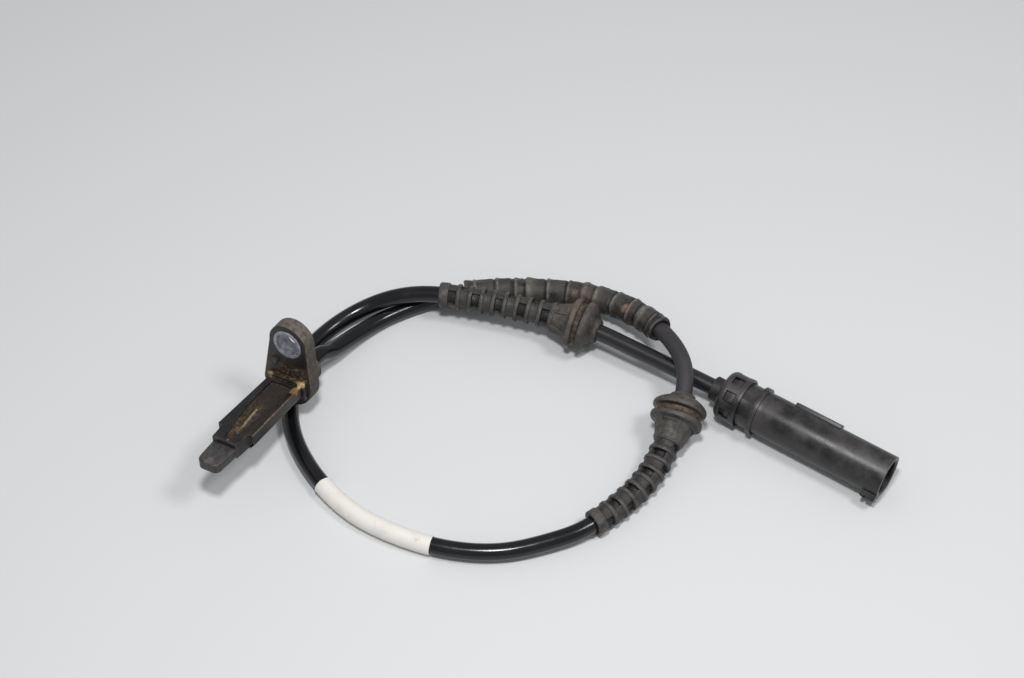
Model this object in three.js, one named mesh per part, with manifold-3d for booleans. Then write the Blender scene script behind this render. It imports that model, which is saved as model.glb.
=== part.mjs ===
// Wheel speed sensor with its cable set, lying on a flat surface as it was laid down.
// Millimetres, +Z up. The origin is on the flange face that seats on the wheel carrier,
// halfway between the bolt bush and the probe. +Y runs back along the probe from its
// nose to the cable, and the plug at the cable's far end points along +X.

import * as THREE from 'three';
import { mergeVertices } from 'three/addons/utils/BufferGeometryUtils.js';
import { ConvexGeometry } from 'three/addons/geometries/ConvexGeometry.js';
import Module from 'manifold-3d';

const wasm = await Module();
wasm.setup();

// Driving dimensions of the sensor head, in its own frame: x across, y back, z up.
const headPitch = 10.5;          // degrees that the nose points up as the head lies
const headRoll = 7;              // degrees that the bolt bush leans to the left
const bushRise = 9;              // bush centre above the origin
const bushOuter = 9.3;
const bushBore = 7;
const bushProud = 0.3;           // the bush stands out of the flange on both sides
const flangeThickness = 4.8;
const flangeTopRadius = 6.3;
const flangeFootRadius = 8.2;
const flangeFootDrop = 14.6;     // from the bush centre to the foot's centre
const flangeFootShift = -1.5;
const probeShift = -1.1;         // probe centre line beside the origin
const probeWidth = 11;           // where it leaves the flange
const probeFlare = 0.9;          // the left side stands out this much more at the front
const probeTop = -3.9;
const probeThickness = 5.4;
const probeChamfer = 1.6;
const probeLength = 25.3;        // from the flange face to the step before the nose
const shoulderWidth = 9;
const shoulderLength = 5.5;
const noseShift = -0.5;          // shoulder and nose beside the probe's centre line
const noseWidth = 7.8;           // at the shoulder
const noseTipWidth = 6.8;
const noseLength = 14;           // from the step to the tip
const noseCorner = 1.9;
const noseTopDrop = 1.5;
const noseFootRise = 0.4;
const rootMargin = 0.9;          // collar where the probe leaves the flange
const rootLength = 1.3;
const railWidth = 1.8;
const recessDepth = 1.2;
const recessStart = 2.6;         // from the flange face
const recessTaper = 14.5;        // where the recess starts to narrow
const recessEndWall = 1.2;       // in front of the recess, in the shoulder
const ridgeHeight = 1.1;
const bossDiameter = 2.6;
const bossX = -4.8;
const bossZ = 1.7;
const bossHeight = 0.6;
const neckDiameter = 9;
const neckLength = 6;
const neckBore = 7;
const neckBoreDepth = 7.4;
const cableAxisZ = -6.8;         // cable centre line in the head's frame

// What the probe holds.
const pocketWidth = 5;
const pocketHeight = 2.3;
const pocketFloor = -8;
const noseWall = 1.4;            // plastic in front of the pocket
const carrierThickness = 0.8;
const chipLength = 4;
const chipWidth = 4.2;
const chipThickness = 0.9;
const magnetLength = 4.2;
const magnetThickness = 1.2;
const leadWidth = 0.8;
const leadThickness = 0.3;
const leadSpacing = 2.6;
const capacitorLength = 2.8;
const capacitorWidth = 4;
const capacitorThickness = 0.7;
const crimpOuter = 2.1;
const crimpBore = 1.5;
const crimpLength = 3.2;
const coreDiameter = 1.7;
const strandDiameter = 1.1;

// Cable and what is moulded or pushed onto it. Places are distances along the cable
// from its end inside the sensor head.
const cableDiameter = 5;
const cableInHead = 7;
const cableInPlug = 12.6;
const cableStep = 6.2;
const cableSides = 10;
const labelStart = 254.7;
const labelLength = 38;
const labelWall = 0.2;
const labelGap = 0.06;
const sleeveStart = 66.6;
const sleeveLength = 65.9;
const sleeveOuter = 8.5;
const sleeveValley = 7.7;
const sleeveBore = 6.4;
const sleeveEndBore = 5.8;
const sleevePitch = 5.3;
const sleeveCuff = 2.6;
const lowerGrommetNeck = 158;
const upperGrommetNeck = 441.2;
const lowerGrommetRoll = 100;
const upperGrommetRoll = 48;
const grommetLength = 49.8;
const grommetBore = 5.7;
const grommetLipDiameter = 7.8;
const grommetDiscDiameter = 16;
const grommetGrooveDiameter = 13.4;
const grommetBackDiscDiameter = 15.6;
const grommetConeDiameter = 12.4;
const reliefDiameter = 8.5;
const reliefEndDiameter = 7.7;
const reliefWebDrop = 0.5;       // the webs lie below the ribs
const reliefFirstSlot = 16.9;    // from the neck end to the first slot's centre
const reliefPitch = 3.6;
const reliefSlots = 9;
const reliefSlotLength = 2.5;
const reliefSlotFloor = 3.05;    // from the centre line
const slotEdge = 0.1;
const conePadFloor = 4.35;
const conePadAt = 12.3;          // from the neck end
const conePadLength = 4.8;

// Plug at the far end, in its own frame: x runs from the cable to the open socket.
const plugAt = new THREE.Vector3(105.3, 63.4, -11.9);
const plugYaw = -3.9;
const plugRoll = 38;             // degrees that the key rib stands above level
const plugLength = 57;
const plugDiameter = 13;
const plugBore = 10.4;
const plugRingDiameter = 14.7;
const plugRingAt = 15.3;
const plugRingWidth = 1.6;
const plugShoulderAt = 38.3;
const plugShoulderWidth = 1.7;
const plugShoulderBore = 8.4;
const keyRibStart = 24.3;
const keyRibLength = 14.9;
const keyRibWidth = 3;
const keyRibHeight = 0.85;
const latchLength = 3.8;
const latchWidth = 3.2;
const latchHeight = 1.5;
const latchSetback = 0.4;
const flatLength = 9;
const flatWidth = 4.6;
const flatDepth = 0.55;
const flatTurn = 38;             // degrees round from the latch
const capStart = 3.4;
const capLength = 7.2;
const capDiameter = 15;
const capWall = 1.2;
const capHole = 7.9;
const capChamfer = 1.9;
const capClearance = 0.2;
const capWindows = 8;
const capWindowLength = 3.3;
const capWindowWidth = 3.4;
const snapHeight = 0.5;
const sealCollarDiameter = 7.4;
const sealLipDiameter = 10;
const sealValleyDiameter = 9;
const sealLength = 12;
const sealLips = 3;
const lockStart = 20.4;
const lockLength = 2.2;
const contactCarrierStart = 24;
const pinSpacing = 4.2;
const pinWidth = 1.6;
const pinThickness = 0.8;
const pinReach = 9;              // pins stand this far into the socket
const barrelDiameter = 2.3;
const barrelStart = 17.9;
const fit = 0.2;                 // clearance between pieces that fit together
const seat = 0.3;                // gap between pieces that rest face to face

// Places that follow from the values above.
const flangeBack = flangeThickness;
const neckEnd = flangeThickness + neckLength;
const probeFloor = probeTop - probeThickness;
const tipY = -probeLength - noseLength;
const shoulderEnd = -probeLength - shoulderLength;
const recessEnd = shoulderEnd + recessEndWall;
const noseMiddle = probeShift + noseShift;
const pocketFront = tipY + noseWall;
const noseTop = probeTop - noseTopDrop;
const noseFloor = probeFloor + noseFootRise;
const cableRadius = cableDiameter / 2;
const cableEndInHead = neckEnd - cableInHead;
const socketFloor = plugShoulderAt + plugShoulderWidth;

const radians = THREE.MathUtils.degToRad;

// Solids from closed meshes, and meshes from solids.
function solidOf(geometry) {
  const bare = geometry.clone();
  bare.deleteAttribute('normal');
  bare.deleteAttribute('uv');
  const merged = mergeVertices(bare, 1e-5);
  const corners = merged.attributes.position.array;
  const kept = [];
  for (let i = 0; i < merged.index.count; i += 3) {
    const [a, b, c] = [0, 1, 2].map((k) => merged.index.getX(i + k));
    if (a !== b && b !== c && c !== a) {
      kept.push(a, b, c);
    }
  }
  if (signedVolume(corners, kept) < 0) {
    kept.reverse();
  }
  const mesh = new wasm.Mesh({
    numProp: 3,
    vertProperties: new Float32Array(corners),
    triVerts: new Uint32Array(kept),
  });
  return new wasm.Manifold(mesh);
}

function signedVolume(corners, triangles) {
  const at = (i) => new THREE.Vector3().fromArray(corners, i * 3);
  let six = 0;
  for (let i = 0; i < triangles.length; i += 3) {
    six += at(triangles[i]).dot(at(triangles[i + 1]).cross(at(triangles[i + 2])));
  }
  return six;
}

function geometryOf(solid) {
  const mesh = solid.getMesh();
  const geometry = new THREE.BufferGeometry();
  const corners = new Float32Array(mesh.vertProperties);
  const triangles = new Uint32Array(mesh.triVerts);
  geometry.setAttribute('position', new THREE.BufferAttribute(corners, 3));
  geometry.setIndex(new THREE.BufferAttribute(triangles, 1));
  geometry.computeVertexNormals();
  return geometry;
}

function joined(first, ...others) {
  return others.reduce((sum, piece) => sum.add(solidOf(piece)), solidOf(first));
}

function without(solid, ...tools) {
  return tools.reduce((rest, tool) => rest.subtract(solidOf(tool)), solid);
}

// Plain shapes.
function box(x0, x1, y0, y1, z0, z1) {
  const geometry = new THREE.BoxGeometry(x1 - x0, y1 - y0, z1 - z0);
  return geometry.translate((x0 + x1) / 2, (y0 + y1) / 2, (z0 + z1) / 2);
}

function centredBox(centreX, width, y0, y1, z0, z1) {
  return box(centreX - width / 2, centreX + width / 2, y0, y1, z0, z1);
}

// A round bar along y, in the head's frame.
function barAlongY(diameter, y0, y1, x, z, sides = 24) {
  const geometry = new THREE.CylinderGeometry(diameter / 2, diameter / 2, y1 - y0, sides);
  return geometry.translate(x, (y0 + y1) / 2, z);
}

// A turned body round the x axis; the outline holds [x, radius] pairs.
function turned(outline, sides, closed) {
  const points = outline.map(([x, r]) => new THREE.Vector2(r, x));
  if (closed) {
    points.push(points[0].clone());
  }
  return new THREE.LatheGeometry(points, sides).rotateZ(-Math.PI / 2);
}

function barAlongX(diameter, x0, x1, y = 0, z = 0, sides = 24) {
  const r = diameter / 2;
  return turned([[x0, 0], [x0, r], [x1, r], [x1, 0]], sides, false).translate(0, y, z);
}

// A flat outline in x and z, drawn out along y.
function drawnAlongY(shape, y0, y1, curveSegments = 16) {
  const geometry = new THREE.ExtrudeGeometry(shape, {
    depth: y1 - y0,
    bevelEnabled: false,
    curveSegments,
  });
  return geometry.rotateX(Math.PI / 2).translate(0, y1, 0);
}

// A flat outline in x and y, drawn up along z.
function drawnUp(shape, z0, z1, curveSegments = 6) {
  const geometry = new THREE.ExtrudeGeometry(shape, {
    depth: z1 - z0,
    bevelEnabled: false,
    curveSegments,
  });
  return geometry.translate(0, 0, z0);
}

// The head's placing: pitched about x, then leaned about the probe's own axis.
const headTurn = new THREE.Euler(-radians(headPitch), -radians(headRoll), 0, 'XYZ');

function fromHead(x, y, z) {
  return new THREE.Vector3(x, y, z).applyEuler(headTurn);
}

// The plug's placing.
const plugTurn = new THREE.Euler(0, 0, radians(plugYaw));

function fromPlug(x) {
  return new THREE.Vector3(x, 0, 0).applyEuler(plugTurn).add(plugAt);
}

// The cable's centre line: out of the head, round through the loop and into the plug.
const cableLine = new THREE.CatmullRomCurve3([
  fromHead(probeShift, cableEndInHead, cableAxisZ),
  fromHead(probeShift, neckEnd, cableAxisZ),
  fromHead(probeShift, neckEnd + 5, cableAxisZ),
  new THREE.Vector3(0.6, 19.6, -12.7),
  new THREE.Vector3(2.2, 29.4, -15.5),
  new THREE.Vector3(4.8, 38.0, -16.7),
  new THREE.Vector3(8.4, 44.9, -16.9),
  new THREE.Vector3(15.1, 53.8, -16.8),
  new THREE.Vector3(24.9, 61.3, -15.2),
  new THREE.Vector3(36.8, 68.8, -14.9),
  new THREE.Vector3(49.3, 74.6, -14.2),
  new THREE.Vector3(60.7, 76.5, -12.7),
  new THREE.Vector3(72.5, 75.4, -10.4),
  new THREE.Vector3(83.2, 71.7, -7.8),
  new THREE.Vector3(92.0, 65.9, -6.3),
  new THREE.Vector3(96.9, 60.4, -6.5),
  new THREE.Vector3(100.1, 53.0, -8.3),
  new THREE.Vector3(102.6, 38.3, -12.6),
  new THREE.Vector3(102.3, 24.4, -14.7),
  new THREE.Vector3(95.5, 4.5, -15.4),
  new THREE.Vector3(88.2, -5.1, -15.8),
  new THREE.Vector3(78.1, -14.2, -16.3),
  new THREE.Vector3(65.5, -20.3, -16.6),
  new THREE.Vector3(50.5, -23.5, -16.6),
  new THREE.Vector3(35.1, -23.4, -16.6),
  new THREE.Vector3(19.7, -18.5, -16.6),
  new THREE.Vector3(7.4, -10.7, -16.8),
  new THREE.Vector3(-0.4, -2.0, -16.9),
  new THREE.Vector3(-6.1, 9.0, -16.9),
  new THREE.Vector3(-7.6, 19.6, -16.9),
  new THREE.Vector3(-5.6, 30.8, -16.7),
  new THREE.Vector3(-0.5, 39.9, -14.9),
  new THREE.Vector3(6.7, 45.8, -11.8),
  new THREE.Vector3(15.8, 50.8, -10.1),
  new THREE.Vector3(37.6, 58.3, -10.0),
  new THREE.Vector3(61.9, 63.6, -10.9),
  new THREE.Vector3(80.1, 64.0, -11.5),
  fromPlug(0),
  fromPlug(cableInPlug),
], false, 'centripetal');
cableLine.arcLengthDivisions = 2000;
const cableLength = cableLine.getLength();

// Direction of the cable and two directions across it, at a distance along it.
function frameAt(distance) {
  const share = THREE.MathUtils.clamp(distance / cableLength, 0, 1);
  const along = cableLine.getTangentAt(share);
  const up = new THREE.Vector3(0, 0, 1).addScaledVector(along, -along.z).normalize();
  const side = new THREE.Vector3().crossVectors(along, up);
  return { centre: cableLine.getPointAt(share), along, up, side };
}

function ringAt(distance, radius, sides, turn = 0) {
  const frame = frameAt(distance);
  const ring = [];
  for (let k = 0; k < sides; k += 1) {
    const angle = turn + (2 * Math.PI * k) / sides;
    const point = frame.centre.clone();
    point.addScaledVector(frame.up, radius * Math.cos(angle));
    point.addScaledVector(frame.side, radius * Math.sin(angle));
    ring.push(point);
  }
  return ring;
}

// Skin through a row of rings. It closes on itself, or ends in two flat caps.
function skinned(rings, closed) {
  const sides = rings[0].length;
  const corners = rings.flat();
  const triangles = [];
  const rows = closed ? rings.length : rings.length - 1;
  for (let row = 0; row < rows; row += 1) {
    const here = row * sides;
    const next = ((row + 1) % rings.length) * sides;
    for (let k = 0; k < sides; k += 1) {
      const l = (k + 1) % sides;
      triangles.push(here + k, next + k, next + l, here + k, next + l, here + l);
    }
  }
  if (!closed) {
    const last = (rings.length - 1) * sides;
    for (let k = 1; k < sides - 1; k += 1) {
      triangles.push(0, k, k + 1, last, last + k + 1, last + k);
    }
  }
  const geometry = new THREE.BufferGeometry();
  const numbers = corners.flatMap((p) => [p.x, p.y, p.z]);
  geometry.setAttribute('position', new THREE.Float32BufferAttribute(numbers, 3));
  geometry.setIndex(triangles);
  return geometry;
}

// A hollow body that follows the cable. Both outlines hold [distance, radius] pairs.
function hollowOnCable(outer, bore, sides, turn = 0) {
  const outside = outer.map(([at, r]) => ringAt(at, r, sides, turn));
  const inside = bore.map(([at, r]) => ringAt(at, r, sides, turn)).reverse();
  return skinned([...outside, ...inside], true);
}

// A block across the cable, for cutting slots and flats: its floor lies at a height
// from the centre line, in the direction that the turn gives.
function blockOnCable(distance, turn, length, width, floor, top) {
  const frame = frameAt(distance);
  const out = frame.up.clone().multiplyScalar(Math.cos(turn));
  out.addScaledVector(frame.side, Math.sin(turn));
  const across = new THREE.Vector3().crossVectors(out, frame.along);
  const placing = new THREE.Matrix4().makeBasis(frame.along, across, out).setPosition(frame.centre);
  const geometry = new THREE.BoxGeometry(length, width, top - floor).translate(0, 0, (floor + top) / 2);
  return geometry.applyMatrix4(placing);
}

// Distances at which the cable's skin has a ring, between two places.
function cableStations(from, to) {
  const places = [from, to];
  for (let at = cableStep; at < cableLength; at += cableStep) {
    places.push(at);
  }
  for (const end of [labelStart, labelStart + labelLength]) {
    places.push(end);
  }
  const inRange = places.filter((at) => at >= from && at <= to).sort((a, b) => a - b);
  return inRange.filter((at, i) => i === 0 || at - inRange[i - 1] > 1e-6);
}

// Finishes.
function finish(color, roughness, metalness = 0) {
  return new THREE.MeshStandardMaterial({ color, roughness, metalness });
}

function named(name, geometry, material) {
  const mesh = new THREE.Mesh(geometry, material);
  mesh.name = name;
  return mesh;
}

// Sensor head: one glass-filled moulding of flange, probe, nose and cable neck.
function flangeOutline() {
  const drop = new THREE.Vector2(flangeFootShift, -flangeFootDrop);
  const lean = drop.angle();
  const spread = Math.acos((flangeTopRadius - flangeFootRadius) / drop.length());
  const shape = new THREE.Shape();
  shape.absarc(0, bushRise, flangeTopRadius, lean + spread, lean - spread + 2 * Math.PI, false);
  shape.absarc(drop.x, bushRise + drop.y, flangeFootRadius, lean - spread, lean + spread, false);
  shape.closePath();
  return shape;
}

// The probe flares a little to the left, towards its front end.
function probeBlock() {
  const right = probeShift + probeWidth / 2;
  const sections = [[1, 0], [-probeLength, probeFlare]].map(([y, flare]) => {
    const left = probeShift - probeWidth / 2 - flare;
    return [
      new THREE.Vector3(left, y, probeTop),
      new THREE.Vector3(left, y, probeFloor + probeChamfer),
      new THREE.Vector3(left + probeChamfer, y, probeFloor),
      new THREE.Vector3(right - probeChamfer, y, probeFloor),
      new THREE.Vector3(right, y, probeFloor + probeChamfer),
      new THREE.Vector3(right, y, probeTop),
    ];
  });
  return new ConvexGeometry(sections.flat());
}

function noseOutline() {
  const half = noseWidth / 2;
  const tipHalf = noseTipWidth / 2;
  const shape = new THREE.Shape();
  shape.moveTo(noseMiddle + half, -probeLength + 1);
  shape.lineTo(noseMiddle - half, -probeLength + 1);
  shape.lineTo(noseMiddle - half, shoulderEnd);
  const corner = tipY + noseCorner;
  shape.absarc(noseMiddle - tipHalf + noseCorner, corner, noseCorner, Math.PI, 1.5 * Math.PI, false);
  shape.absarc(noseMiddle + tipHalf - noseCorner, corner, noseCorner, 1.5 * Math.PI, 2 * Math.PI, false);
  shape.lineTo(noseMiddle + half, shoulderEnd);
  shape.closePath();
  return shape;
}

function recessOutline() {
  const left = probeShift - probeWidth / 2 + railWidth;
  const right = probeShift + probeWidth / 2 - railWidth;
  return new THREE.Shape([
    new THREE.Vector2(left, -recessStart),
    new THREE.Vector2(left, -recessTaper),
    new THREE.Vector2(noseMiddle - railWidth / 2, recessEnd),
    new THREE.Vector2(noseMiddle + railWidth / 2, recessEnd),
    new THREE.Vector2(right, -probeLength + railWidth),
    new THREE.Vector2(right, -recessStart),
  ]);
}

// Roof-shaped ridge that climbs from the recess's tip to mid-length, then drops.
function recessRidge() {
  const floor = probeTop - recessDepth - fit;
  const left = probeShift - probeWidth / 2 + railWidth;
  const right = probeShift + probeWidth / 5;
  return new ConvexGeometry([
    new THREE.Vector3(left, -recessTaper, floor),
    new THREE.Vector3(right, -recessTaper - railWidth, floor),
    new THREE.Vector3(noseMiddle, recessEnd, floor),
    new THREE.Vector3(noseMiddle, recessEnd, probeTop - recessDepth + ridgeHeight / 3),
    new THREE.Vector3(probeShift, -recessTaper - 1, probeTop - recessDepth + ridgeHeight),
  ]);
}

function sensorHousing() {
  const rootWidth = probeWidth + 2 * rootMargin;
  const body = joined(
    drawnAlongY(flangeOutline(), 0, flangeBack),
    probeBlock(),
    centredBox(probeShift, rootWidth, -rootLength, 1, probeFloor, probeTop + rootMargin),
    centredBox(noseMiddle, shoulderWidth, shoulderEnd, -probeLength + 1, noseFloor, probeTop),
    drawnUp(noseOutline(), noseFloor + noseFootRise, noseTop),
    barAlongY(bossDiameter, -bossHeight, 1, bossX, bossZ, 16),
    barAlongY(neckDiameter, flangeBack - 1, neckEnd, probeShift, cableAxisZ, 28),
  );
  const carved = without(
    body,
    drawnUp(recessOutline(), probeTop - recessDepth, probeTop + 1),
  ).add(solidOf(recessRidge()));
  const boreStart = neckEnd - neckBoreDepth;
  const pocketCeiling = pocketFloor + pocketHeight;
  return geometryOf(without(
    carved,
    barAlongY(bushOuter + 2 * fit, -1, flangeBack + 1, 0, bushRise, 32),
    centredBox(probeShift, pocketWidth, pocketFront, boreStart + 1, pocketFloor, pocketCeiling),
    barAlongY(neckBore, boreStart, neckEnd + 1, probeShift, cableAxisZ, 24),
  ));
}

// Steel bush that takes the bolt's clamp load through the plastic flange.
function mountingBush() {
  const ring = barAlongY(bushOuter, -bushProud, flangeBack + bushProud, 0, bushRise, 32);
  const hole = barAlongY(bushBore, -bushProud - 1, flangeBack + bushProud + 1, 0, bushRise, 32);
  return geometryOf(without(solidOf(ring), hole));
}

// Rubber ring that seals the cable in the neck.
function neckSeal() {
  const outside = neckBore - 2 * fit;
  const inside = cableDiameter + 2 * fit;
  const ring = barAlongY(outside, cableEndInHead, neckEnd + seat, probeShift, cableAxisZ, 24);
  const hole = barAlongY(inside, cableEndInHead - 1, neckEnd + 1, probeShift, cableAxisZ, 24);
  return geometryOf(without(solidOf(ring), hole));
}

// The chip, its magnet and its leads ride on a flat carrier in the probe's pocket.
const carrierFloor = pocketFloor + fit / 2;
const carrierTop = carrierFloor + carrierThickness;
const onCarrier = carrierTop + fit / 2;
const chipFront = pocketFront + seat;
const magnetFront = chipFront + chipLength + seat;
const leadFront = magnetFront + magnetLength + seat;
const crimpBack = cableEndInHead - coreDiameter;
const crimpFront = crimpBack - crimpLength;
const leadBack = crimpFront - seat;
const coreZ = pocketFloor + pocketHeight / 2;

function chipCarrier() {
  return centredBox(probeShift, pocketWidth - 2 * fit, chipFront, leadBack, carrierFloor, carrierTop);
}

function sensorChip() {
  const back = chipFront + chipLength;
  return centredBox(probeShift, chipWidth, chipFront, back, onCarrier, onCarrier + chipThickness);
}

function biasMagnet() {
  const back = magnetFront + magnetLength;
  return centredBox(probeShift, chipWidth, magnetFront, back, onCarrier, onCarrier + magnetThickness);
}

function leadStrip(sign) {
  const x = probeShift + (sign * leadSpacing) / 2;
  return centredBox(x, leadWidth, leadFront, leadBack, onCarrier, onCarrier + leadThickness);
}

function capacitor() {
  const middle = (leadFront + leadBack) / 2;
  const floor = onCarrier + leadThickness + fit / 2;
  const front = middle - capacitorLength / 2;
  const back = front + capacitorLength;
  return centredBox(probeShift, capacitorWidth, front, back, floor, floor + capacitorThickness);
}

function wireCrimp(sign) {
  const x = probeShift + (sign * leadSpacing) / 2;
  const barrel = barAlongY(crimpOuter, crimpFront, crimpBack, x, coreZ, 16);
  const hole = barAlongY(crimpBore, crimpFront - 1, crimpBack + 1, x, coreZ, 16);
  return geometryOf(without(solidOf(barrel), hole));
}

function headCore(sign) {
  const x = probeShift + (sign * leadSpacing) / 2;
  return geometryOf(joined(
    barAlongY(coreDiameter, crimpBack + seat, cableEndInHead - fit, x, coreZ, 12),
    barAlongY(strandDiameter, crimpFront, crimpBack + seat + fit, x, coreZ, 12),
  ));
}

// Two-core cable in a smooth black jacket.
function cableBody() {
  const rings = cableStations(0, cableLength).map((at) => ringAt(at, cableRadius, cableSides));
  return geometryOf(solidOf(skinned(rings, false)));
}

// Bare paper band wrapped round the jacket.
function labelBand() {
  const stations = cableStations(labelStart, labelStart + labelLength);
  const inner = cableRadius + labelGap;
  const outer = inner + labelWall;
  return geometryOf(solidOf(hollowOnCable(
    stations.map((at) => [at, outer]),
    stations.map((at) => [at, inner]),
    cableSides,
  )));
}

// Soft corrugated rubber tube pushed over the cable.
function corrugatedSleeve() {
  const crest = sleeveOuter / 2;
  const valley = sleeveValley / 2;
  const first = sleeveStart + sleeveCuff;
  const last = sleeveStart + sleeveLength - sleeveCuff;
  const waves = Math.max(1, Math.round((last - first) / sleevePitch));
  const pitch = (last - first) / waves;
  const outer = [[sleeveStart, valley], [first - pitch / 8, valley]];
  for (let i = 0; i < waves; i += 1) {
    const at = first + i * pitch;
    outer.push([at + pitch * 0.2, crest], [at + pitch * 0.7, crest], [at + pitch * 0.9, valley]);
  }
  outer.push([sleeveStart + sleeveLength, valley]);
  const bore = [[sleeveStart, sleeveEndBore / 2]];
  for (let i = 0; i <= waves; i += 1) {
    bore.push([first + i * pitch, sleeveBore / 2]);
  }
  bore.push([sleeveStart + sleeveLength, sleeveEndBore / 2]);
  return geometryOf(solidOf(hollowOnCable(outer, bore, 14)));
}

// Rubber grommet moulded on the cable: neck lip, dome, two discs with a groove for the
// bracket, a cone with flat pads, and a slotted bend relief that ends in a collar.
function grommetSteps() {
  const steps = [
    [0, grommetLipDiameter - 0.6],
    [0.4, grommetLipDiameter],
    [0.9, grommetLipDiameter],
    [1.4, grommetLipDiameter + 0.8],
    [2.2, grommetDiscDiameter - 3.8],
    [3.1, grommetDiscDiameter - 1.1],
    [3.8, grommetDiscDiameter],
    [5.1, grommetDiscDiameter],
    [5.4, grommetGrooveDiameter],
    [7, grommetGrooveDiameter],
    [7.4, grommetBackDiscDiameter],
    [9.1, grommetBackDiscDiameter],
    [9.7, grommetConeDiameter],
    [12.5, (grommetConeDiameter + reliefDiameter) / 2 - 0.4],
  ];
  for (let i = 0; i < reliefSlots; i += 1) {
    const middle = reliefFirstSlot + i * reliefPitch;
    const share = i / (reliefSlots - 1);
    const rib = THREE.MathUtils.lerp(reliefDiameter, reliefEndDiameter, share);
    const web = rib - 2 * reliefWebDrop;
    const half = reliefSlotLength / 2;
    steps.push([middle - half, rib], [middle - half + slotEdge, web]);
    steps.push([middle + half - slotEdge, web], [middle + half, rib]);
  }
  steps.push([grommetLength, reliefEndDiameter]);
  return steps;
}

function grommet(neckAt, direction, roll) {
  const place = (along) => neckAt + direction * along;
  const outer = grommetSteps().map(([along, diameter]) => [place(along), diameter / 2]);
  const bore = [];
  const boreSteps = Math.ceil(grommetLength / 5);
  for (let i = 0; i <= boreSteps; i += 1) {
    bore.push([place((grommetLength * i) / boreSteps), grommetBore / 2]);
  }
  const turn = radians(roll);
  const tools = [];
  for (let i = 0; i < reliefSlots; i += 1) {
    const at = place(reliefFirstSlot + i * reliefPitch);
    const quarter = (i % 2) * (Math.PI / 2);
    for (const half of [0, Math.PI]) {
      const side = turn + quarter + half;
      tools.push(blockOnCable(at, side, reliefSlotLength, reliefDiameter, reliefSlotFloor, reliefDiameter));
    }
  }
  for (let i = 0; i < 4; i += 1) {
    const quarter = (i * Math.PI) / 2;
    const side = turn + quarter;
    const at = place(conePadAt);
    tools.push(blockOnCable(at, side, conePadLength, reliefDiameter, conePadFloor, grommetDiscDiameter));
  }
  return geometryOf(without(solidOf(hollowOnCable(outer, bore, 18, turn)), ...tools));
}

// Plug: a long round body with an open socket, held to the cable by a snap cap.
function plugBody() {
  const r = plugDiameter / 2;
  const ring = plugRingDiameter / 2;
  const bore = plugBore / 2;
  const rear = capStart + capWall + seat;
  const ringHalf = plugRingWidth / 2;
  const tube = turned([
    [rear, bore], [rear, r], [plugRingAt - ringHalf, r], [plugRingAt - ringHalf, ring],
    [plugRingAt + ringHalf, ring], [plugRingAt + ringHalf, r], [plugLength - 0.4, r], [plugLength, r - 0.4],
    [plugLength, bore], [socketFloor, bore], [socketFloor, plugShoulderBore / 2],
    [plugShoulderAt, plugShoulderBore / 2], [plugShoulderAt, bore],
  ], 32, true);
  const ribHalf = keyRibWidth / 2;
  const rib = box(keyRibStart, keyRibStart + keyRibLength, r - 1, r + keyRibHeight, -ribHalf, ribHalf);
  const latchEnd = plugLength - latchSetback;
  const latchHalf = latchWidth / 2;
  const latch = box(latchEnd - latchLength, latchEnd, -r - latchHeight, -r + 0.5, -latchHalf, latchHalf);
  const snaps = capWindowPlaces().map((turn) => snapLug(turn));
  const flatStart = plugLength - flatLength;
  const flat = box(flatStart, plugLength + 1, -r - 1, -r + flatDepth, -flatWidth / 2, flatWidth / 2);
  const body = joined(tube, rib, latch, ...snaps);
  return geometryOf(without(body, flat.rotateX(radians(flatTurn))));
}

function capWindowPlaces() {
  return Array.from({ length: capWindows }, (_, i) => (2 * Math.PI * i) / capWindows);
}

const capWindowAt = capStart + capLength / 2 + 0.3;

function snapLug(turn) {
  const r = plugDiameter / 2;
  const half = capWindowLength / 2 - fit;
  const width = capWindowWidth / 2 - fit;
  const lug = box(capWindowAt - half, capWindowAt + half, r - 1, r + snapHeight, -width, width);
  return lug.rotateX(turn);
}

function plugCap() {
  const outer = capDiameter / 2;
  const inner = plugDiameter / 2 + capClearance;
  const end = capStart + capLength;
  const shell = turned([
    [capStart, capHole / 2], [capStart, outer - capChamfer], [capStart + capChamfer, outer], [end, outer],
    [end, inner], [capStart + capWall, inner], [capStart + capWall, capHole / 2],
  ], 32, true);
  const windows = capWindowPlaces().map((turn) => {
    const half = capWindowLength / 2;
    const width = capWindowWidth / 2;
    return box(capWindowAt - half, capWindowAt + half, inner - 1, outer + 1, -width, width).rotateX(turn);
  });
  return geometryOf(without(solidOf(shell), ...windows));
}

function plugSeal() {
  const collar = sealCollarDiameter / 2;
  const lip = sealLipDiameter / 2;
  const valley = sealValleyDiameter / 2;
  const bore = cableRadius + fit;
  const first = capStart + capWall + seat;
  const pitch = (sealLength - first) / sealLips;
  const outline = [[0, bore], [0, collar], [first, collar]];
  for (let i = 0; i < sealLips; i += 1) {
    const at = first + i * pitch;
    outline.push([at, lip], [at + pitch / 2, lip], [at + pitch / 2, valley], [at + pitch, valley]);
  }
  outline.push([sealLength, bore]);
  return geometryOf(solidOf(turned(outline, 20, true)));
}

// Two contacts sit in a round carrier, with a lock plate behind it.
const contactCarrierEnd = plugShoulderAt - seat;
const plugInner = plugBore - 2 * fit;
const barrelEnd = contactCarrierStart - seat;

function contactCarrier() {
  const slots = [-1, 1].map((sign) => {
    const y = (sign * pinSpacing) / 2;
    const halfY = pinWidth / 2 + fit;
    const halfZ = pinThickness / 2 + fit;
    return box(contactCarrierStart - 1, contactCarrierEnd + 1, y - halfY, y + halfY, -halfZ, halfZ);
  });
  return geometryOf(without(solidOf(barAlongX(plugInner, contactCarrierStart, contactCarrierEnd)), ...slots));
}

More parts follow.
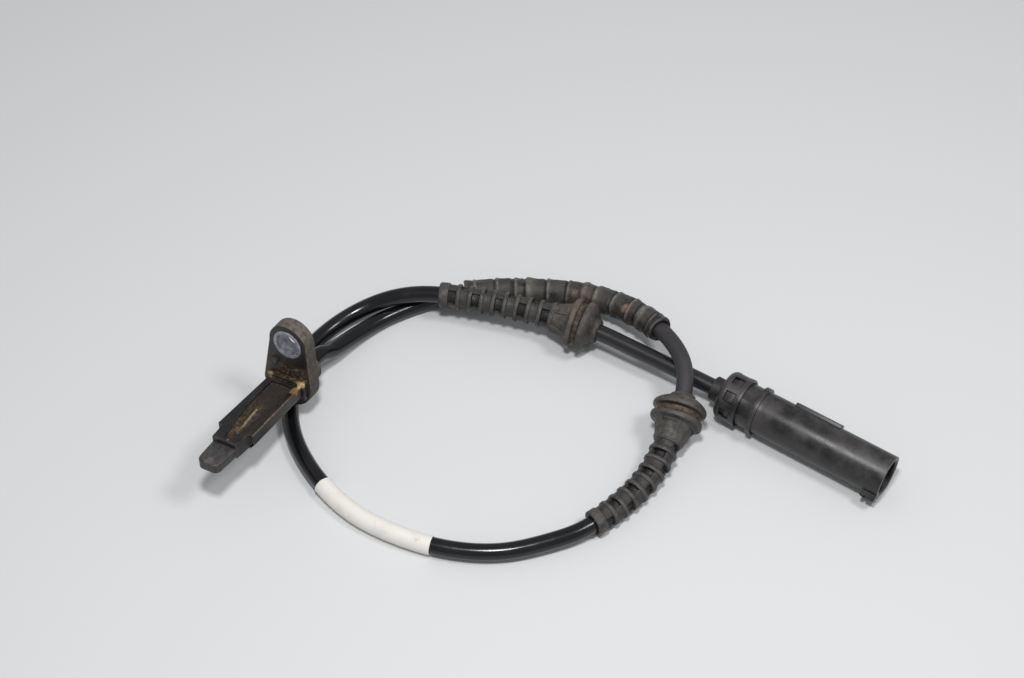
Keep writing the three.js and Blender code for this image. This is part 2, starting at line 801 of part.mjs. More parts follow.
function terminalLock() {
  const holes = [-1, 1].map((sign) => {
    const y = (sign * pinSpacing) / 2;
    return barAlongX(barrelDiameter + 2 * fit, lockStart - 1, lockStart + lockLength + 1, y, 0, 16);
  });
  return geometryOf(without(solidOf(barAlongX(plugInner, lockStart, lockStart + lockLength)), ...holes));
}

function terminalPin(sign) {
  const y = (sign * pinSpacing) / 2;
  const tip = socketFloor + pinReach;
  const half = pinThickness / 2;
  const blade = box(barrelEnd - 1, tip, y - pinWidth / 2, y + pinWidth / 2, -half, half);
  const barrel = barAlongX(barrelDiameter, barrelStart, barrelEnd, y, 0, 16);
  const hole = barAlongX(coreDiameter + fit, barrelStart - 1, barrelStart + coreDiameter, y, 0, 16);
  return geometryOf(without(joined(blade, barrel), hole));
}

function plugCore(sign) {
  const y = (sign * pinSpacing) / 2;
  return geometryOf(solidOf(
    barAlongX(coreDiameter - fit, cableInPlug + fit, barrelStart + coreDiameter - seat, y, 0, 12),
  ));
}

// Assembly.
const mouldingBlack = finish(0x231f1d, 0.55);
const dustyRubber = finish(0x3d3a36, 0.85);
const plugBlack = finish(0x2b2b2d, 0.5);
const brass = finish(0xb9a04f, 0.35, 0.9);
const copperTin = finish(0xb8b4aa, 0.35, 0.9);

const head = new THREE.Group();
head.rotation.copy(headTurn);
head.add(
  named('sensor_housing', sensorHousing(), mouldingBlack),
  named('mounting_bush', mountingBush(), finish(0xb4b6ba, 0.35, 0.85)),
  named('neck_seal', neckSeal(), finish(0x26241f, 0.8)),
  named('chip_carrier', chipCarrier(), finish(0x6f6a58, 0.7)),
  named('sensor_chip', sensorChip(), finish(0x17181a, 0.45)),
  named('bias_magnet', biasMagnet(), finish(0x6e6f72, 0.4, 0.7)),
  named('capacitor', capacitor(), finish(0xa8865a, 0.5)),
);
for (const [side, sign] of [['left', -1], ['right', 1]]) {
  head.add(
    named(`lead_${side}`, leadStrip(sign), copperTin),
    named(`wire_crimp_${side}`, wireCrimp(sign), copperTin),
    named(`head_core_${side}`, headCore(sign), finish(sign < 0 ? 0x5a3a24 : 0x2b4a7a, 0.6)),
  );
}

const plug = new THREE.Group();
plug.position.copy(plugAt);
plug.rotation.set(radians(plugRoll), 0, radians(plugYaw), 'ZYX');
plug.add(
  named('plug_body', plugBody(), plugBlack),
  named('plug_cap', plugCap(), plugBlack),
  named('plug_seal', plugSeal(), finish(0x24262a, 0.8)),
  named('contact_carrier', contactCarrier(), finish(0x2f2f31, 0.6)),
  named('terminal_lock', terminalLock(), finish(0x8c5a2b, 0.6)),
);
for (const [side, sign] of [['left', -1], ['right', 1]]) {
  plug.add(
    named(`terminal_${side}`, terminalPin(sign), brass),
    named(`plug_core_${side}`, plugCore(sign), finish(sign < 0 ? 0x5a3a24 : 0x2b4a7a, 0.6)),
  );
}

const sensor = new THREE.Group();
sensor.add(
  head,
  plug,
  named('cable', cableBody(), finish(0x141517, 0.3)),
  named('label_band', labelBand(), finish(0xefe9e2, 0.75)),
  named('corrugated_sleeve', corrugatedSleeve(), dustyRubber),
  named('grommet_lower', grommet(lowerGrommetNeck, 1, lowerGrommetRoll), dustyRubber),
  named('grommet_upper', grommet(upperGrommetNeck, -1, upperGrommetRoll), dustyRubber),
);

export default sensor;
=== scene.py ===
"""A wheel speed sensor on its looped cable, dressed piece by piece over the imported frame.

Sizes are written in millimetres and multiplied by MM. Places along the cable are measured
from its end inside the sensor head.
"""

import math

import bmesh
import bpy
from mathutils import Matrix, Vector
from mathutils.geometry import interpolate_bezier


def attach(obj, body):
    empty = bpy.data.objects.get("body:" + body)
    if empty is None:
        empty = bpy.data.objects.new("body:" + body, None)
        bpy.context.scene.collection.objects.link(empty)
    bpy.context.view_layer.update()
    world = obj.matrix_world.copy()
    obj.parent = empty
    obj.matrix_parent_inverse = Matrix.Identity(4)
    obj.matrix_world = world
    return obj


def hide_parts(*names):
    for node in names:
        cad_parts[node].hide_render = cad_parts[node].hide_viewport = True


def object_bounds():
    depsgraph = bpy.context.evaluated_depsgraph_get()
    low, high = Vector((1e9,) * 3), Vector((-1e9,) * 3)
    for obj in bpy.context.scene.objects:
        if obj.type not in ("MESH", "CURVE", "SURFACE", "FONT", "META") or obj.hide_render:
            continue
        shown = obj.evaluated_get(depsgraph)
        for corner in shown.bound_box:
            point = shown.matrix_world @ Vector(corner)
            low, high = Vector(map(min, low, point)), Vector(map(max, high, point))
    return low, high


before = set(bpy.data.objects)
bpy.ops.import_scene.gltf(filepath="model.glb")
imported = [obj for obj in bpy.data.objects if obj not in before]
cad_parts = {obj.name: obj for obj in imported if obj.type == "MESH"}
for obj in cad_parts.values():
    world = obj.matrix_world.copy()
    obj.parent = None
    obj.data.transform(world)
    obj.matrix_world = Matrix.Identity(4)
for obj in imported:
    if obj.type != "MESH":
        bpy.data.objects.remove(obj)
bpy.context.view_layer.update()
bpy.ops.object.select_all(action="DESELECT")

# The view: a camera on a long lens, well above a pale table, a little to the right of
# the sensor's own axis. It sees the whole loop, with the head at the left and the plug
# at the right.

MM = 0.001
camera_place = Vector((228.8, -268.5, 458.1)) * MM
camera_target = Vector((42.2, 54.6, -19.5)) * MM
camera_data = bpy.data.cameras.new("camera")
camera_data.lens = 70.3
camera_data.sensor_width = 36
camera = bpy.data.objects.new("camera", camera_data)
camera.location = camera_place
camera.rotation_euler = (camera_target - camera_place).to_track_quat("-Z", "Y").to_euler()
bpy.context.scene.collection.objects.link(camera)
bpy.context.scene.camera = camera
bpy.context.scene.view_settings.view_transform = "Standard"

# The cable: one unbroken two-core cable in a smooth black jacket, laid in a loop. It
# leaves the head's neck, turns back under the probe and runs straight into the plug.

HEAD_TURN = (math.radians(-10.5), math.radians(-7), 0)
HEAD_ORDER = "ZYX"
PLUG_AT = Vector((105.3, 63.4, -11.9)) * MM
PLUG_TURN = (math.radians(38), 0, math.radians(-3.9))
PLUG_ORDER = "XYZ"
PROBE_MIDDLE = -1.1 * MM
CABLE_AXIS_Z = -6.8 * MM
NECK_END = 10.8 * MM
CABLE_RADIUS = 2.5 * MM


def from_head(x, y, z):
    """A point of the head's own frame, in the part's frame."""
    return head_matrix @ Vector((x, y, z))


def turn_matrix(turn, order):
    helper = bpy.data.objects.new("turn", None)
    helper.rotation_mode = order
    helper.rotation_euler = turn
    matrix = helper.matrix_basis.copy()
    bpy.data.objects.remove(helper)
    return matrix


head_matrix = turn_matrix(HEAD_TURN, HEAD_ORDER)

# The first three points lie on the neck's axis and the last two on the plug's.
route = [from_head(PROBE_MIDDLE, NECK_END + along * MM, CABLE_AXIS_Z) for along in (-7, 0, 5)]
route += [Vector(point) * MM for point in (
    (0.6, 19.6, -12.7),
    (2.2, 29.4, -15.5),
    (4.8, 38.0, -16.7),
    (8.4, 44.9, -16.9),
    (15.1, 53.8, -16.8),
    (24.9, 61.3, -15.2),
    (36.8, 68.8, -14.9),
    (49.3, 74.6, -14.2),
    (60.7, 76.5, -12.7),
    (72.5, 75.4, -10.4),
    (83.2, 71.7, -7.8),
    (92.0, 65.9, -6.3),
    (96.9, 60.4, -6.5),
    (100.1, 53.0, -8.3),
    (102.6, 38.3, -12.6),
    (102.3, 24.4, -14.7),
    (95.5, 4.5, -15.4),
    (88.2, -5.1, -15.8),
    (78.1, -14.2, -16.3),
    (65.5, -20.3, -16.6),
    (50.5, -23.5, -16.6),
    (35.1, -23.4, -16.6),
    (19.7, -18.5, -16.6),
    (7.4, -10.7, -16.8),
    (-0.4, -2.0, -16.9),
    (-6.1, 9.0, -16.9),
    (-7.6, 19.6, -16.9),
    (-5.6, 30.8, -16.7),
    (-0.5, 39.9, -14.9),
    (6.7, 45.8, -11.8),
    (15.8, 50.8, -10.1),
    (37.6, 58.3, -10.0),
    (61.9, 63.6, -10.9),
    (80.1, 64.0, -11.5),
)]
plug_direction = turn_matrix((0, 0, PLUG_TURN[2]), "XYZ") @ Vector((1, 0, 0))
CABLE_IN_PLUG = 12.6 * MM
route += [PLUG_AT, PLUG_AT + plug_direction * CABLE_IN_PLUG]


def tangents_through(points):
    """For each stretch, the two end tangents of a centripetal spline through all points."""
    lengthened = [2 * points[0] - points[1], *points, 2 * points[-1] - points[-2]]
    stretches = []
    for before, start, end, after in zip(lengthened, lengthened[1:], lengthened[2:], lengthened[3:]):
        first = math.sqrt((start - before).length)
        middle = math.sqrt((end - start).length)
        last = math.sqrt((after - end).length)
        leaving = (start - before) / first - (end - before) / (first + middle) + (end - start) / middle
        arriving = (end - start) / middle - (after - start) / (middle + last) + (after - end) / last
        stretches.append((leaving * middle, arriving * middle))
    return stretches


def taken_up(piece):
    """Makes a piece the only selected object, and the active one."""
    bpy.ops.object.select_all(action="DESELECT")
    bpy.context.view_layer.objects.active = piece
    piece.select_set(True)


cable_line = bpy.data.curves.new("cable", "CURVE")
cable_line.dimensions = "3D"
cable_line.twist_mode = "Z_UP"
cable_line.resolution_u = 16
cable_line.bevel_depth = CABLE_RADIUS
cable_line.bevel_resolution = 8
cable_line.use_fill_caps = True
spline = cable_line.splines.new("BEZIER")
spline.bezier_points.add(len(route) - 1)
for knot, point in zip(spline.bezier_points, route):
    knot.co = point
    knot.handle_left_type = "FREE"
    knot.handle_right_type = "FREE"
for index, (leaving, arriving) in enumerate(tangents_through(route)):
    spline.bezier_points[index].handle_right = route[index] + leaving / 3
    spline.bezier_points[index + 1].handle_left = route[index + 1] - arriving / 3
first_knot = spline.bezier_points[0]
last_knot = spline.bezier_points[-1]
first_knot.handle_left = 2 * first_knot.co - first_knot.handle_right
last_knot.handle_right = 2 * last_knot.co - last_knot.handle_left
cable_route = bpy.data.objects.new("cable_route", cable_line)
bpy.context.scene.collection.objects.link(cable_route)
centre_line = [route[0]]
for start, end in zip(spline.bezier_points, spline.bezier_points[1:]):
    bend = (start.co, start.handle_right, end.handle_left, end.co)
    centre_line += interpolate_bezier(*bend, 17)[1:]

taken_up(cable_route)
bpy.ops.object.duplicate()
cable = bpy.context.object
cable.name = "cable_jacket"
bpy.ops.object.convert(target="MESH")
bpy.ops.object.select_all(action="DESELECT")

# Each ring of the mesh keeps its place along the cable, in millimetres.
walked = [0.0]
for start, end in zip(centre_line, centre_line[1:]):
    walked.append(walked[-1] + (end - start).length / MM)
ring_size = len(cable.data.vertices) // len(centre_line)
ring_places = [walked[min(i // ring_size, len(walked) - 1)] for i in range(len(cable.data.vertices))]
cable.data.attributes.new("along", "FLOAT", "POINT").data.foreach_set("value", ring_places)


class Wire:
    """One socket in a material, so that shader maths reads as plain arithmetic."""

    def __init__(self, paint, socket):
        self.paint = paint
        self.socket = socket

    def maths(self, operation, other, swapped=False):
        pair = [other, self] if swapped else [self, other]
        return self.paint.node("ShaderNodeMath", {"operation": operation}, dict(enumerate(pair)))

    def __add__(self, other):
        return self.maths("ADD", other)

    def __radd__(self, other):
        return self.maths("ADD", other)

    def __sub__(self, other):
        return self.maths("SUBTRACT", other)

    def __rsub__(self, other):
        return self.maths("SUBTRACT", other, swapped=True)

    def __mul__(self, other):
        return self.maths("MULTIPLY", other)

    def __rmul__(self, other):
        return self.maths("MULTIPLY", other)

    def ramp(self, low, high):
        """0 below low, 1 above high, and smooth between them. It falls where low is above high."""
        values = {"Value": self, "From Min": low, "From Max": high}
        return self.paint.node("ShaderNodeMapRange", {"interpolation_type": "SMOOTHSTEP"}, values)


class Paint:
    """A finish: a Principled shader and what feeds it."""

    def __init__(self, name, roughness=0.5, metallic=0.0):
        self.material = bpy.data.materials.new(name)
        self.material.use_nodes = True
        self.tree = self.material.node_tree
        self.shader = self.tree.nodes["Principled BSDF"]
        self.shader.inputs["Roughness"].default_value = roughness
        self.shader.inputs["Metallic"].default_value = metallic
        coordinates = self.tree.nodes.new("ShaderNodeTexCoord")
        self.place = Wire(self, coordinates.outputs["Object"])
        geometry = self.tree.nodes.new("ShaderNodeNewGeometry")
        self.normal = Wire(self, geometry.outputs["Normal"])

    def feed(self, socket, value):
        if isinstance(value, Wire):
            self.tree.links.new(value.socket, socket)
        elif isinstance(value, tuple) and len(value) == 3 and socket.type == "RGBA":
            socket.default_value = (*value, 1)
        else:
            socket.default_value = value

    def node(self, kind, settings, values, output=0):
        made = self.tree.nodes.new(kind)
        for key, value in settings.items():
            setattr(made, key, value)
        for key, value in values.items():
            self.feed(made.inputs[key], value)
        return Wire(self, made.outputs[output])

    def noise(self, size, detail=3.0, roughness=0.55, place=None):
        """Soft random clouds of about this size, in metres."""
        values = {"Vector": place or self.place, "Scale": 1 / size, "Detail": detail, "Roughness": roughness}
        return self.node("ShaderNodeTexNoise", {}, values)

    def mix(self, first, second, share):
        """A colour between two, by the share of the second."""
        return self.node("ShaderNodeMix", {"data_type": "RGBA"}, {0: share, 6: first, 7: second}, output=2)

    def upward(self):
        """1 on surfaces that face up, 0 on those that face down."""
        return self.part(self.normal, 2).ramp(-0.3, 0.9)

    def part(self, vector, axis):
        """One of a vector's three parts."""
        return self.node("ShaderNodeSeparateXYZ", {}, {0: vector}, output=axis)

    def stored(self, name):
        """A number that was stored on each vertex."""
        return self.node("ShaderNodeAttribute", {"attribute_name": name}, {}, output=2)

    def near(self, place, reach, coordinates=None):
        """1 at a point, falling to 0 at this distance from it."""
        values = {0: coordinates or self.place, 1: place}
        distance = self.node("ShaderNodeVectorMath", {"operation": "DISTANCE"}, values, output=1)
        return distance.ramp(reach, 0)

    def finish(self, colour, roughness=None, height=None, depth=0.1 * MM, strength=1.0):
        self.feed(self.shader.inputs["Base Color"], colour)
        if roughness is not None:
            self.feed(self.shader.inputs["Roughness"], roughness)
        if height is not None:
            values = {"Strength": strength, "Distance": depth, "Height": height}
            bump = self.node("ShaderNodeBump", {}, values)
            self.feed(self.shader.inputs["Normal"], bump)
        return self.material


def on_cable(distance):
    """The point at a distance along the cable, in millimetres."""
    for place, start, end in zip(walked, centre_line, centre_line[1:]):
        step = (end - start).length / MM
        if place + step >= distance:
            return start.lerp(end, (distance - place) / step)
    return centre_line[-1]


def jacket_material():
    """Smooth glossy black jacket, grey and matt beyond the sleeve, with a film near the plug."""
    paint = Paint("jacket", roughness=0.2)
    dust = paint.noise(9 * MM, detail=6, roughness=0.7).ramp(0.45, 0.8)
    streaks = paint.noise(1.2 * MM, detail=4)
    along = paint.stored("along")
    dull = along.ramp(128, 134) * along.ramp(172, 160)
    film = along.ramp(436, 446)
    black = paint.mix((0.0045, 0.0047, 0.006), (0.012, 0.0115, 0.012), dust)
    filmed = paint.mix(black, (0.026, 0.025, 0.027), film * 0.5)
    grey = paint.mix(filmed, (0.048, 0.044, 0.049), dull * (0.65 + 0.35 * dust))
    roughness = 0.15 + 0.13 * dust + 0.4 * dull + 0.12 * film + 0.05 * streaks
    return paint.finish(grey, roughness, streaks, depth=0.03 * MM, strength=0.3)


def shaded(piece, material, angle=30):
    """Gives a piece its smooth shading and its finish, and lets it ride with the part."""
    taken_up(piece)
    bpy.ops.object.shade_smooth_by_angle(angle=math.radians(angle))
    piece.data.materials.clear()
    piece.data.materials.append(material)
    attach(piece, "root")
    piece.select_set(False)


shaded(cable, jacket_material(), angle=60)
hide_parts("cable")

# The label: a bare cream wrap of coated paper round the lower side of the loop, about
# one and a half turns with its free edge showing as a low step.

LABEL_START = 254.7 * MM
LABEL_LENGTH = 38 * MM
LABEL_GAP = 0.05 * MM
LABEL_THICKNESS = 0.14 * MM


def in_edit_mode(piece):
    taken_up(piece)
    bpy.ops.object.mode_set(mode="EDIT")


def out_of_edit_mode():
    bpy.ops.object.mode_set(mode="OBJECT")
    bpy.ops.object.select_all(action="DESELECT")


def turned(name, outline, steps):
    """A body turned round the X axis: its outline, as pairs of place and radius, is spun."""
    bpy.ops.mesh.primitive_plane_add(size=MM)
    piece = bpy.context.object
    piece.name = name
    bpy.ops.object.mode_set(mode="EDIT")
    bpy.ops.mesh.select_mode(type="VERT")
    bpy.ops.mesh.select_all(action="SELECT")
    bpy.ops.mesh.merge(type="CENTER")
    bpy.ops.transform.translate(value=(outline[0][0], 0, outline[0][1]))
    for (x0, r0), (x1, r1) in zip(outline, outline[1:]):
        step = {"value": (x1 - x0, 0, r1 - r0)}
        bpy.ops.mesh.extrude_region_move(TRANSFORM_OT_translate=step)
    bpy.ops.mesh.select_all(action="SELECT")
    bpy.ops.mesh.spin(steps=steps, angle=2 * math.pi, center=(0, 0, 0), axis=(1, 0, 0))
    bpy.ops.mesh.select_all(action="SELECT")
    bpy.ops.mesh.remove_doubles(threshold=0.002 * MM)
    bpy.ops.mesh.normals_make_consistent(inside=False)
    out_of_edit_mode()
    return piece


def select_parts(piece, kind, wanted):
    """Selects the corners, edges or faces for which wanted(item) is true, and no others."""
    bpy.ops.mesh.select_mode(type=kind)
    bpy.ops.mesh.select_all(action="DESELECT")
    body = bmesh.from_edit_mesh(piece.data)
    for item in {"VERT": body.verts, "EDGE": body.edges, "FACE": body.faces}[kind]:
        item.select_set(wanted(item))
    if kind == "VERT":
        body.select_flush(True)
    bmesh.update_edit_mesh(piece.data)


def select_faces(piece, wanted):
    select_parts(piece, "FACE", lambda face: wanted(face.calc_center_median(), face.normal))


def finished(piece, kind, **settings):
    """Adds a modifier to a piece and applies it."""
    taken_up(piece)
    modifier = piece.modifiers.new(kind.lower(), kind)
    for key, value in settings.items():
        setattr(modifier, key, value)
    bpy.ops.object.modifier_apply(modifier=modifier.name)
    piece.select_set(False)


def soften_edges(piece, width, segments=2, angle=32):
    settings = {"limit_method": "ANGLE", "angle_limit": math.radians(angle)}
    finished(piece, "BEVEL", width=width, segments=segments, **settings)


def laid_on_cable(piece):
    """Bends a piece that was made straight along X onto the cable's line."""
    finished(piece, "CURVE", object=cable_route, deform_axis="POS_X")


def evenly(start, end, step):
    """Places from start to end, about one step apart."""
    count = max(1, round(abs(end - start) / step))
    return [start + (end - start) * i / count for i in range(count + 1)]


label_inner = CABLE_RADIUS + LABEL_GAP
label_outer = label_inner + LABEL_THICKNESS
label_stations = evenly(LABEL_START, LABEL_START + LABEL_LENGTH, 1.2 * MM)
label_outline = [(x, label_outer) for x in label_stations]
label_outline += [(x, label_inner) for x in reversed(label_stations)] + [(LABEL_START, label_outer)]
label = turned("label_wrap", label_outline, 64)
OVERLAP_ANGLE = math.radians(200)
in_edit_mode(label)
select_faces(label, lambda centre, normal: (
    math.hypot(centre.y, centre.z) > (label_inner + label_outer) / 2
    and math.atan2(centre.y, centre.z) % (2 * math.pi) < OVERLAP_ANGLE
    and abs(normal.x) < 0.5
))
bpy.ops.mesh.extrude_region_shrink_fatten(TRANSFORM_OT_shrink_fatten={"value": LABEL_THICKNESS})
out_of_edit_mode()
laid_on_cable(label)


def label_material():
    """Cream-white wrap, soiled in soft patches and along its ends."""
    paint = Paint("label", roughness=0.55)
    soil = paint.noise(7 * MM, detail=5, roughness=0.65).ramp(0.5, 0.78)
    specks = paint.noise(1.1 * MM, detail=3).ramp(0.64, 0.74)
    fibre = paint.noise(0.35 * MM, detail=2)
    cream = paint.mix((0.83, 0.80, 0.745), (0.66, 0.615, 0.55), soil * 0.5)
    marked = paint.mix(cream, (0.34, 0.30, 0.26), specks * 0.28)
    return paint.finish(marked, 0.5 + 0.12 * fibre, fibre, depth=0.02 * MM, strength=0.5)


shaded(label, label_material())
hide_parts("label_band")

# The sleeve: a soft corrugated rubber tube pushed over the cable to save it from
# chafing. It is a row of low, uneven bellows with a thin crest beside each fold.

SLEEVE_START = 66.6 * MM
SLEEVE_LENGTH = 65.9 * MM
SLEEVE_SKIN = 4.22 * MM
SLEEVE_BORE = 2.58 * MM
SLEEVE_CUFF = 2.6 * MM
SLEEVE_PITCH = 5.3 * MM
sleeve_end = SLEEVE_START + SLEEVE_LENGTH
wave_first = SLEEVE_START + SLEEVE_CUFF
wave_last = sleeve_end - SLEEVE_CUFF
wave_count = round((wave_last - wave_first) / SLEEVE_PITCH)
wave_pitch = (wave_last - wave_first) / wave_count


def bump_at(phase, centre, width):
    """A smooth bump in a repeating wave, 1 at its centre."""
    off = abs((phase - centre + 0.5) % 1 - 0.5) / width
    return math.exp(-off * off)


def sleeve_radius(x):
    """A bellow's section: a tight fold, a thin crest and then a long shallow slope."""
    if x < SLEEVE_START + 0.9 * MM or x > sleeve_end - 0.9 * MM:
        return SLEEVE_SKIN - 0.15 * MM
    if x < wave_first or x > wave_last:
        return SLEEVE_SKIN - 0.33 * MM
    uneven = 0.13 * math.sin(0.83 * x / MM) + 0.1 * math.sin(0.31 * x / MM)
    phase = ((x - wave_first) / wave_pitch + uneven) % 1
    crest = 0.3 * bump_at(phase, 0.2, 0.14)
    fold = 0.3 * bump_at(phase, 0, 0.09)
    return SLEEVE_SKIN - (0.27 - crest + fold) * MM


def stamped(piece, sunk):
    """Stores on each vertex its place along the piece, in millimetres, and how deep it
    lies under the outer skin, which sunk(place, radius) gives from 0 to 1."""
    depths = [sunk(corner.co.x, math.hypot(corner.co.y, corner.co.z)) for corner in piece.data.vertices]
    places = [corner.co.x / MM for corner in piece.data.vertices]
    for name, values in (("sunk", depths), ("along", places)):
        piece.data.attributes.new(name, "FLOAT", "POINT").data.foreach_set("value", values)


sleeve_stations = evenly(SLEEVE_START, sleeve_end, wave_pitch / 16)
sleeve_outline = [(SLEEVE_START, SLEEVE_SKIN - 0.35 * MM)]
sleeve_outline += [(x, sleeve_radius(x)) for x in sleeve_stations[1:-1]]
sleeve_outline += [(sleeve_end, SLEEVE_SKIN - 0.35 * MM), (sleeve_end + 0.1 * MM, 3.3 * MM)]
sleeve_outline += [(x, SLEEVE_BORE) for x in evenly(sleeve_end - 0.3 * MM, SLEEVE_START, 3 * MM)]
sleeve_outline.append(sleeve_outline[0])
sleeve = turned("ribbed_sleeve", sleeve_outline, 64)
stamped(sleeve, lambda x, r: min(1, max(0, (SLEEVE_SKIN - r) / (0.62 * MM))))
lumps = bpy.data.textures.new("lumps", "CLOUDS")
lumps.noise_scale = 4.2 * MM
lumps.noise_depth = 3
finished(sleeve, "DISPLACE", texture=lumps, texture_coords="LOCAL", strength=0.95 * MM, mid_level=0.5)
laid_on_cable(sleeve)


def rubber_material(name, dust_colour, crest_highlight_share, dirt_places, groove=None):
    """Dark rubber under road dust: grey-brown on top, with painted shade that keeps the dust out of its
    folds, grooves and windows and turns them black, a painted highlight along its crests, and stains.
    """
    paint = Paint(name, roughness=0.8)
    clouds = paint.noise(4 * MM, detail=6, roughness=0.65)
    coarse = paint.noise(1.4 * MM, detail=5, roughness=0.7)
    grit = paint.noise(0.5 * MM, detail=4, roughness=0.7)
    sunk = paint.stored("sunk")
    along = paint.stored("along")
    # Painted shade: the dust fades out and the rubber darkens in folds, grooves and windows, by how deep they
    # lie.
    outside_painted_shade = 1 - 0.9 * sunk.ramp(0.15, 0.8)
    dust = (clouds.ramp(0.32, 0.66) * 0.75 + 0.25) * (paint.upward() * 0.65 + 0.35) * outside_painted_shade
    # Painted shade: the deepest folds and window floors are painted near black.
    painted_well_shade = sunk.ramp(0.75, 0.95)
    rubber_with_well_shade = paint.mix((0.0095, 0.0088, 0.0085), (0.0022, 0.0022, 0.0022), painted_well_shade)
    rubber = paint.mix(rubber_with_well_shade, dust_colour, dust)
    brown = paint.noise(2.2 * MM, detail=5, roughness=0.7).ramp(0.52, 0.68)
    stained = paint.mix(rubber, (0.105, 0.072, 0.048), brown * 0.35 * outside_painted_shade)
    # Painted highlight: the upward tops of crests and ribs, near the outer skin, are painted a light grey.
    crest = sunk.ramp(0.3, 0.0) * (coarse.ramp(0.35, 0.62) * 0.85 + 0.15) * paint.upward()
    stained = paint.mix(stained, (0.225, 0.207, 0.18), crest * crest_highlight_share)
    if groove:
        low, high, colour, share = groove
        band = along.ramp(low, low + 0.5) * along.ramp(high, high - 0.5)
        stained = paint.mix(stained, colour, band * (coarse * 1.4 + grit * 0.8 - 0.65).ramp(0.2, 0.7) * share)
    for place, reach, colour, share in dirt_places:
        spot = (paint.near(tuple(place), reach * MM) * 1.4 + coarse * 1.2 - 1.0).ramp(0.2, 0.7)
        stained = paint.mix(stained, colour, spot * share)
    speckled = paint.mix(stained, (0.17, 0.15, 0.13), grit.ramp(0.66, 0.76) * 0.35)
    roughness = 0.21 + 0.42 * clouds.ramp(0.38, 0.62) + 0.16 * grit
    return paint.finish(speckled, roughness, grit + coarse * 1.5, depth=0.17 * MM, strength=0.9)


def beside_cable(distance, offset):
    """A point off the cable's centre line, by an offset in millimetres."""
    return on_cable(distance) + Vector(offset) * MM


RUST = (0.30, 0.17, 0.095)
sleeve_dirt = [
    (beside_cable(118.5, (0, -2.5, 3.4)), 3.2, RUST, 0.5),
    (beside_cable(104, (0, -3, 2)), 9, (0.13, 0.095, 0.065), 0.4),
]
sleeve_rubber = rubber_material("sleeve_rubber", (0.088, 0.084, 0.075), 0.62, sleeve_dirt)
shaded(sleeve, sleeve_rubber, angle=60)
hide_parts("corrugated_sleeve")

# The grommets: two alike, moulded in rubber onto the cable and pressed into brackets on
# the car by the groove between their discs. Each runs out in a bend relief, whose
# windows are cut by turns in one direction and across it, so that it bends every way.

GROMMET_LENGTH = 49.8 * MM
GROMMET_BORE = 2.56 * MM
RIB_COUNT = 9
RIB_PITCH = 3.6 * MM
FIRST_WINDOW = 16.9 * MM
WINDOW_LENGTH = 2.3 * MM
WINDOW_FLOOR = 2.68 * MM
WEB_DROP = 0.4 * MM
RELIEF_START_RADIUS = 4.22 * MM
RELIEF_END_RADIUS = 3.84 * MM
WINDOW_HALF_ANGLE = math.radians(36)
CONE_START = 10 * MM
CONE_END = 14.9 * MM
CONE_RADIUS = 6.05 * MM
PAD_HALF_ANGLE = math.radians(27)
PAD_DEPTH = 0.5 * MM
DISC_RADIUS = 7.95 * MM


def relief_radius(along):
    share = (along - FIRST_WINDOW) / (RIB_PITCH * (RIB_COUNT - 1))
    return RELIEF_START_RADIUS + (RELIEF_END_RADIUS - RELIEF_START_RADIUS) * share


def grommet_outline():
    """From the lip at the cable's side, over the dome and both discs, down the cone and
    along the relief's ribs and webs to its collar, then back through the bore."""
    front = [
        (0, 2.75), (0.08, 3.3), (0.4, 3.7), (0.9, 3.85), (1.3, 4.2), (1.8, 5.3), (2.4, 6.35),
        (3.0, 7.2), (3.5, 7.7), (4.1, 7.95), (4.6, 7.95), (5.0, 7.8), (5.25, 7.4), (5.4, 6.75),
        (5.7, 6.65), (6.8, 6.65), (7.05, 6.75), (7.15, 7.3), (7.4, 7.62), (7.9, 7.76), (8.5, 7.76),
        (9.0, 7.55), (9.25, 7.0), (9.45, 6.35), (9.7, 6.15), (10.0, 6.05),
    ]
    outline = [(x * MM, r * MM) for x, r in front]
    cone_steps = 8
    for i in range(1, cone_steps + 1):
        share = i / cone_steps
        slope = 1 - (1 - share) ** 1.4
        outline.append((CONE_START + (CONE_END - CONE_START) * share, CONE_RADIUS - 1.5 * MM * slope))
    outline.append((CONE_END + 0.5 * MM, relief_radius(FIRST_WINDOW)))
    for i in range(RIB_COUNT):
        middle = FIRST_WINDOW + i * RIB_PITCH
        rib = relief_radius(middle)
        web = rib - WEB_DROP
        edge = WINDOW_LENGTH / 2
        lip = 0.12 * MM
        outline += [(middle - edge - lip, rib), (middle - edge, web), (middle, web)]
        outline += [(middle + edge, web), (middle + edge + lip, rib)]
        if i < RIB_COUNT - 1:
            outline.append((middle + RIB_PITCH / 2, rib + 0.03 * MM))
    collar = RELIEF_END_RADIUS
    outline += [(48.2 * MM, collar), (49.4 * MM, collar), (GROMMET_LENGTH, collar - 0.2 * MM)]
    outline += [(x, GROMMET_BORE) for x in evenly(GROMMET_LENGTH, 0, 2.5 * MM)]
    outline.append(outline[0])
    return outline


def sunk_in_grommet(along, radius):
    """How deep a point lies in a groove, window or pad, from 0 to 1."""
    if along < 4 * MM:
        return 0
    if along < 9.2 * MM:
        skin = DISC_RADIUS - 0.15 * MM
    elif along < CONE_END:
        return 0
    else:
        skin = relief_radius(along)
    return min(1, max(0, (skin - radius) / (1.3 * MM)))


def angle_off(centre, direction):
    """How far round the X axis a face lies from a direction; both are from up, towards -Y."""
    turn = math.atan2(-centre.y, centre.z) - direction
    return abs((turn + math.pi) % (2 * math.pi) - math.pi)


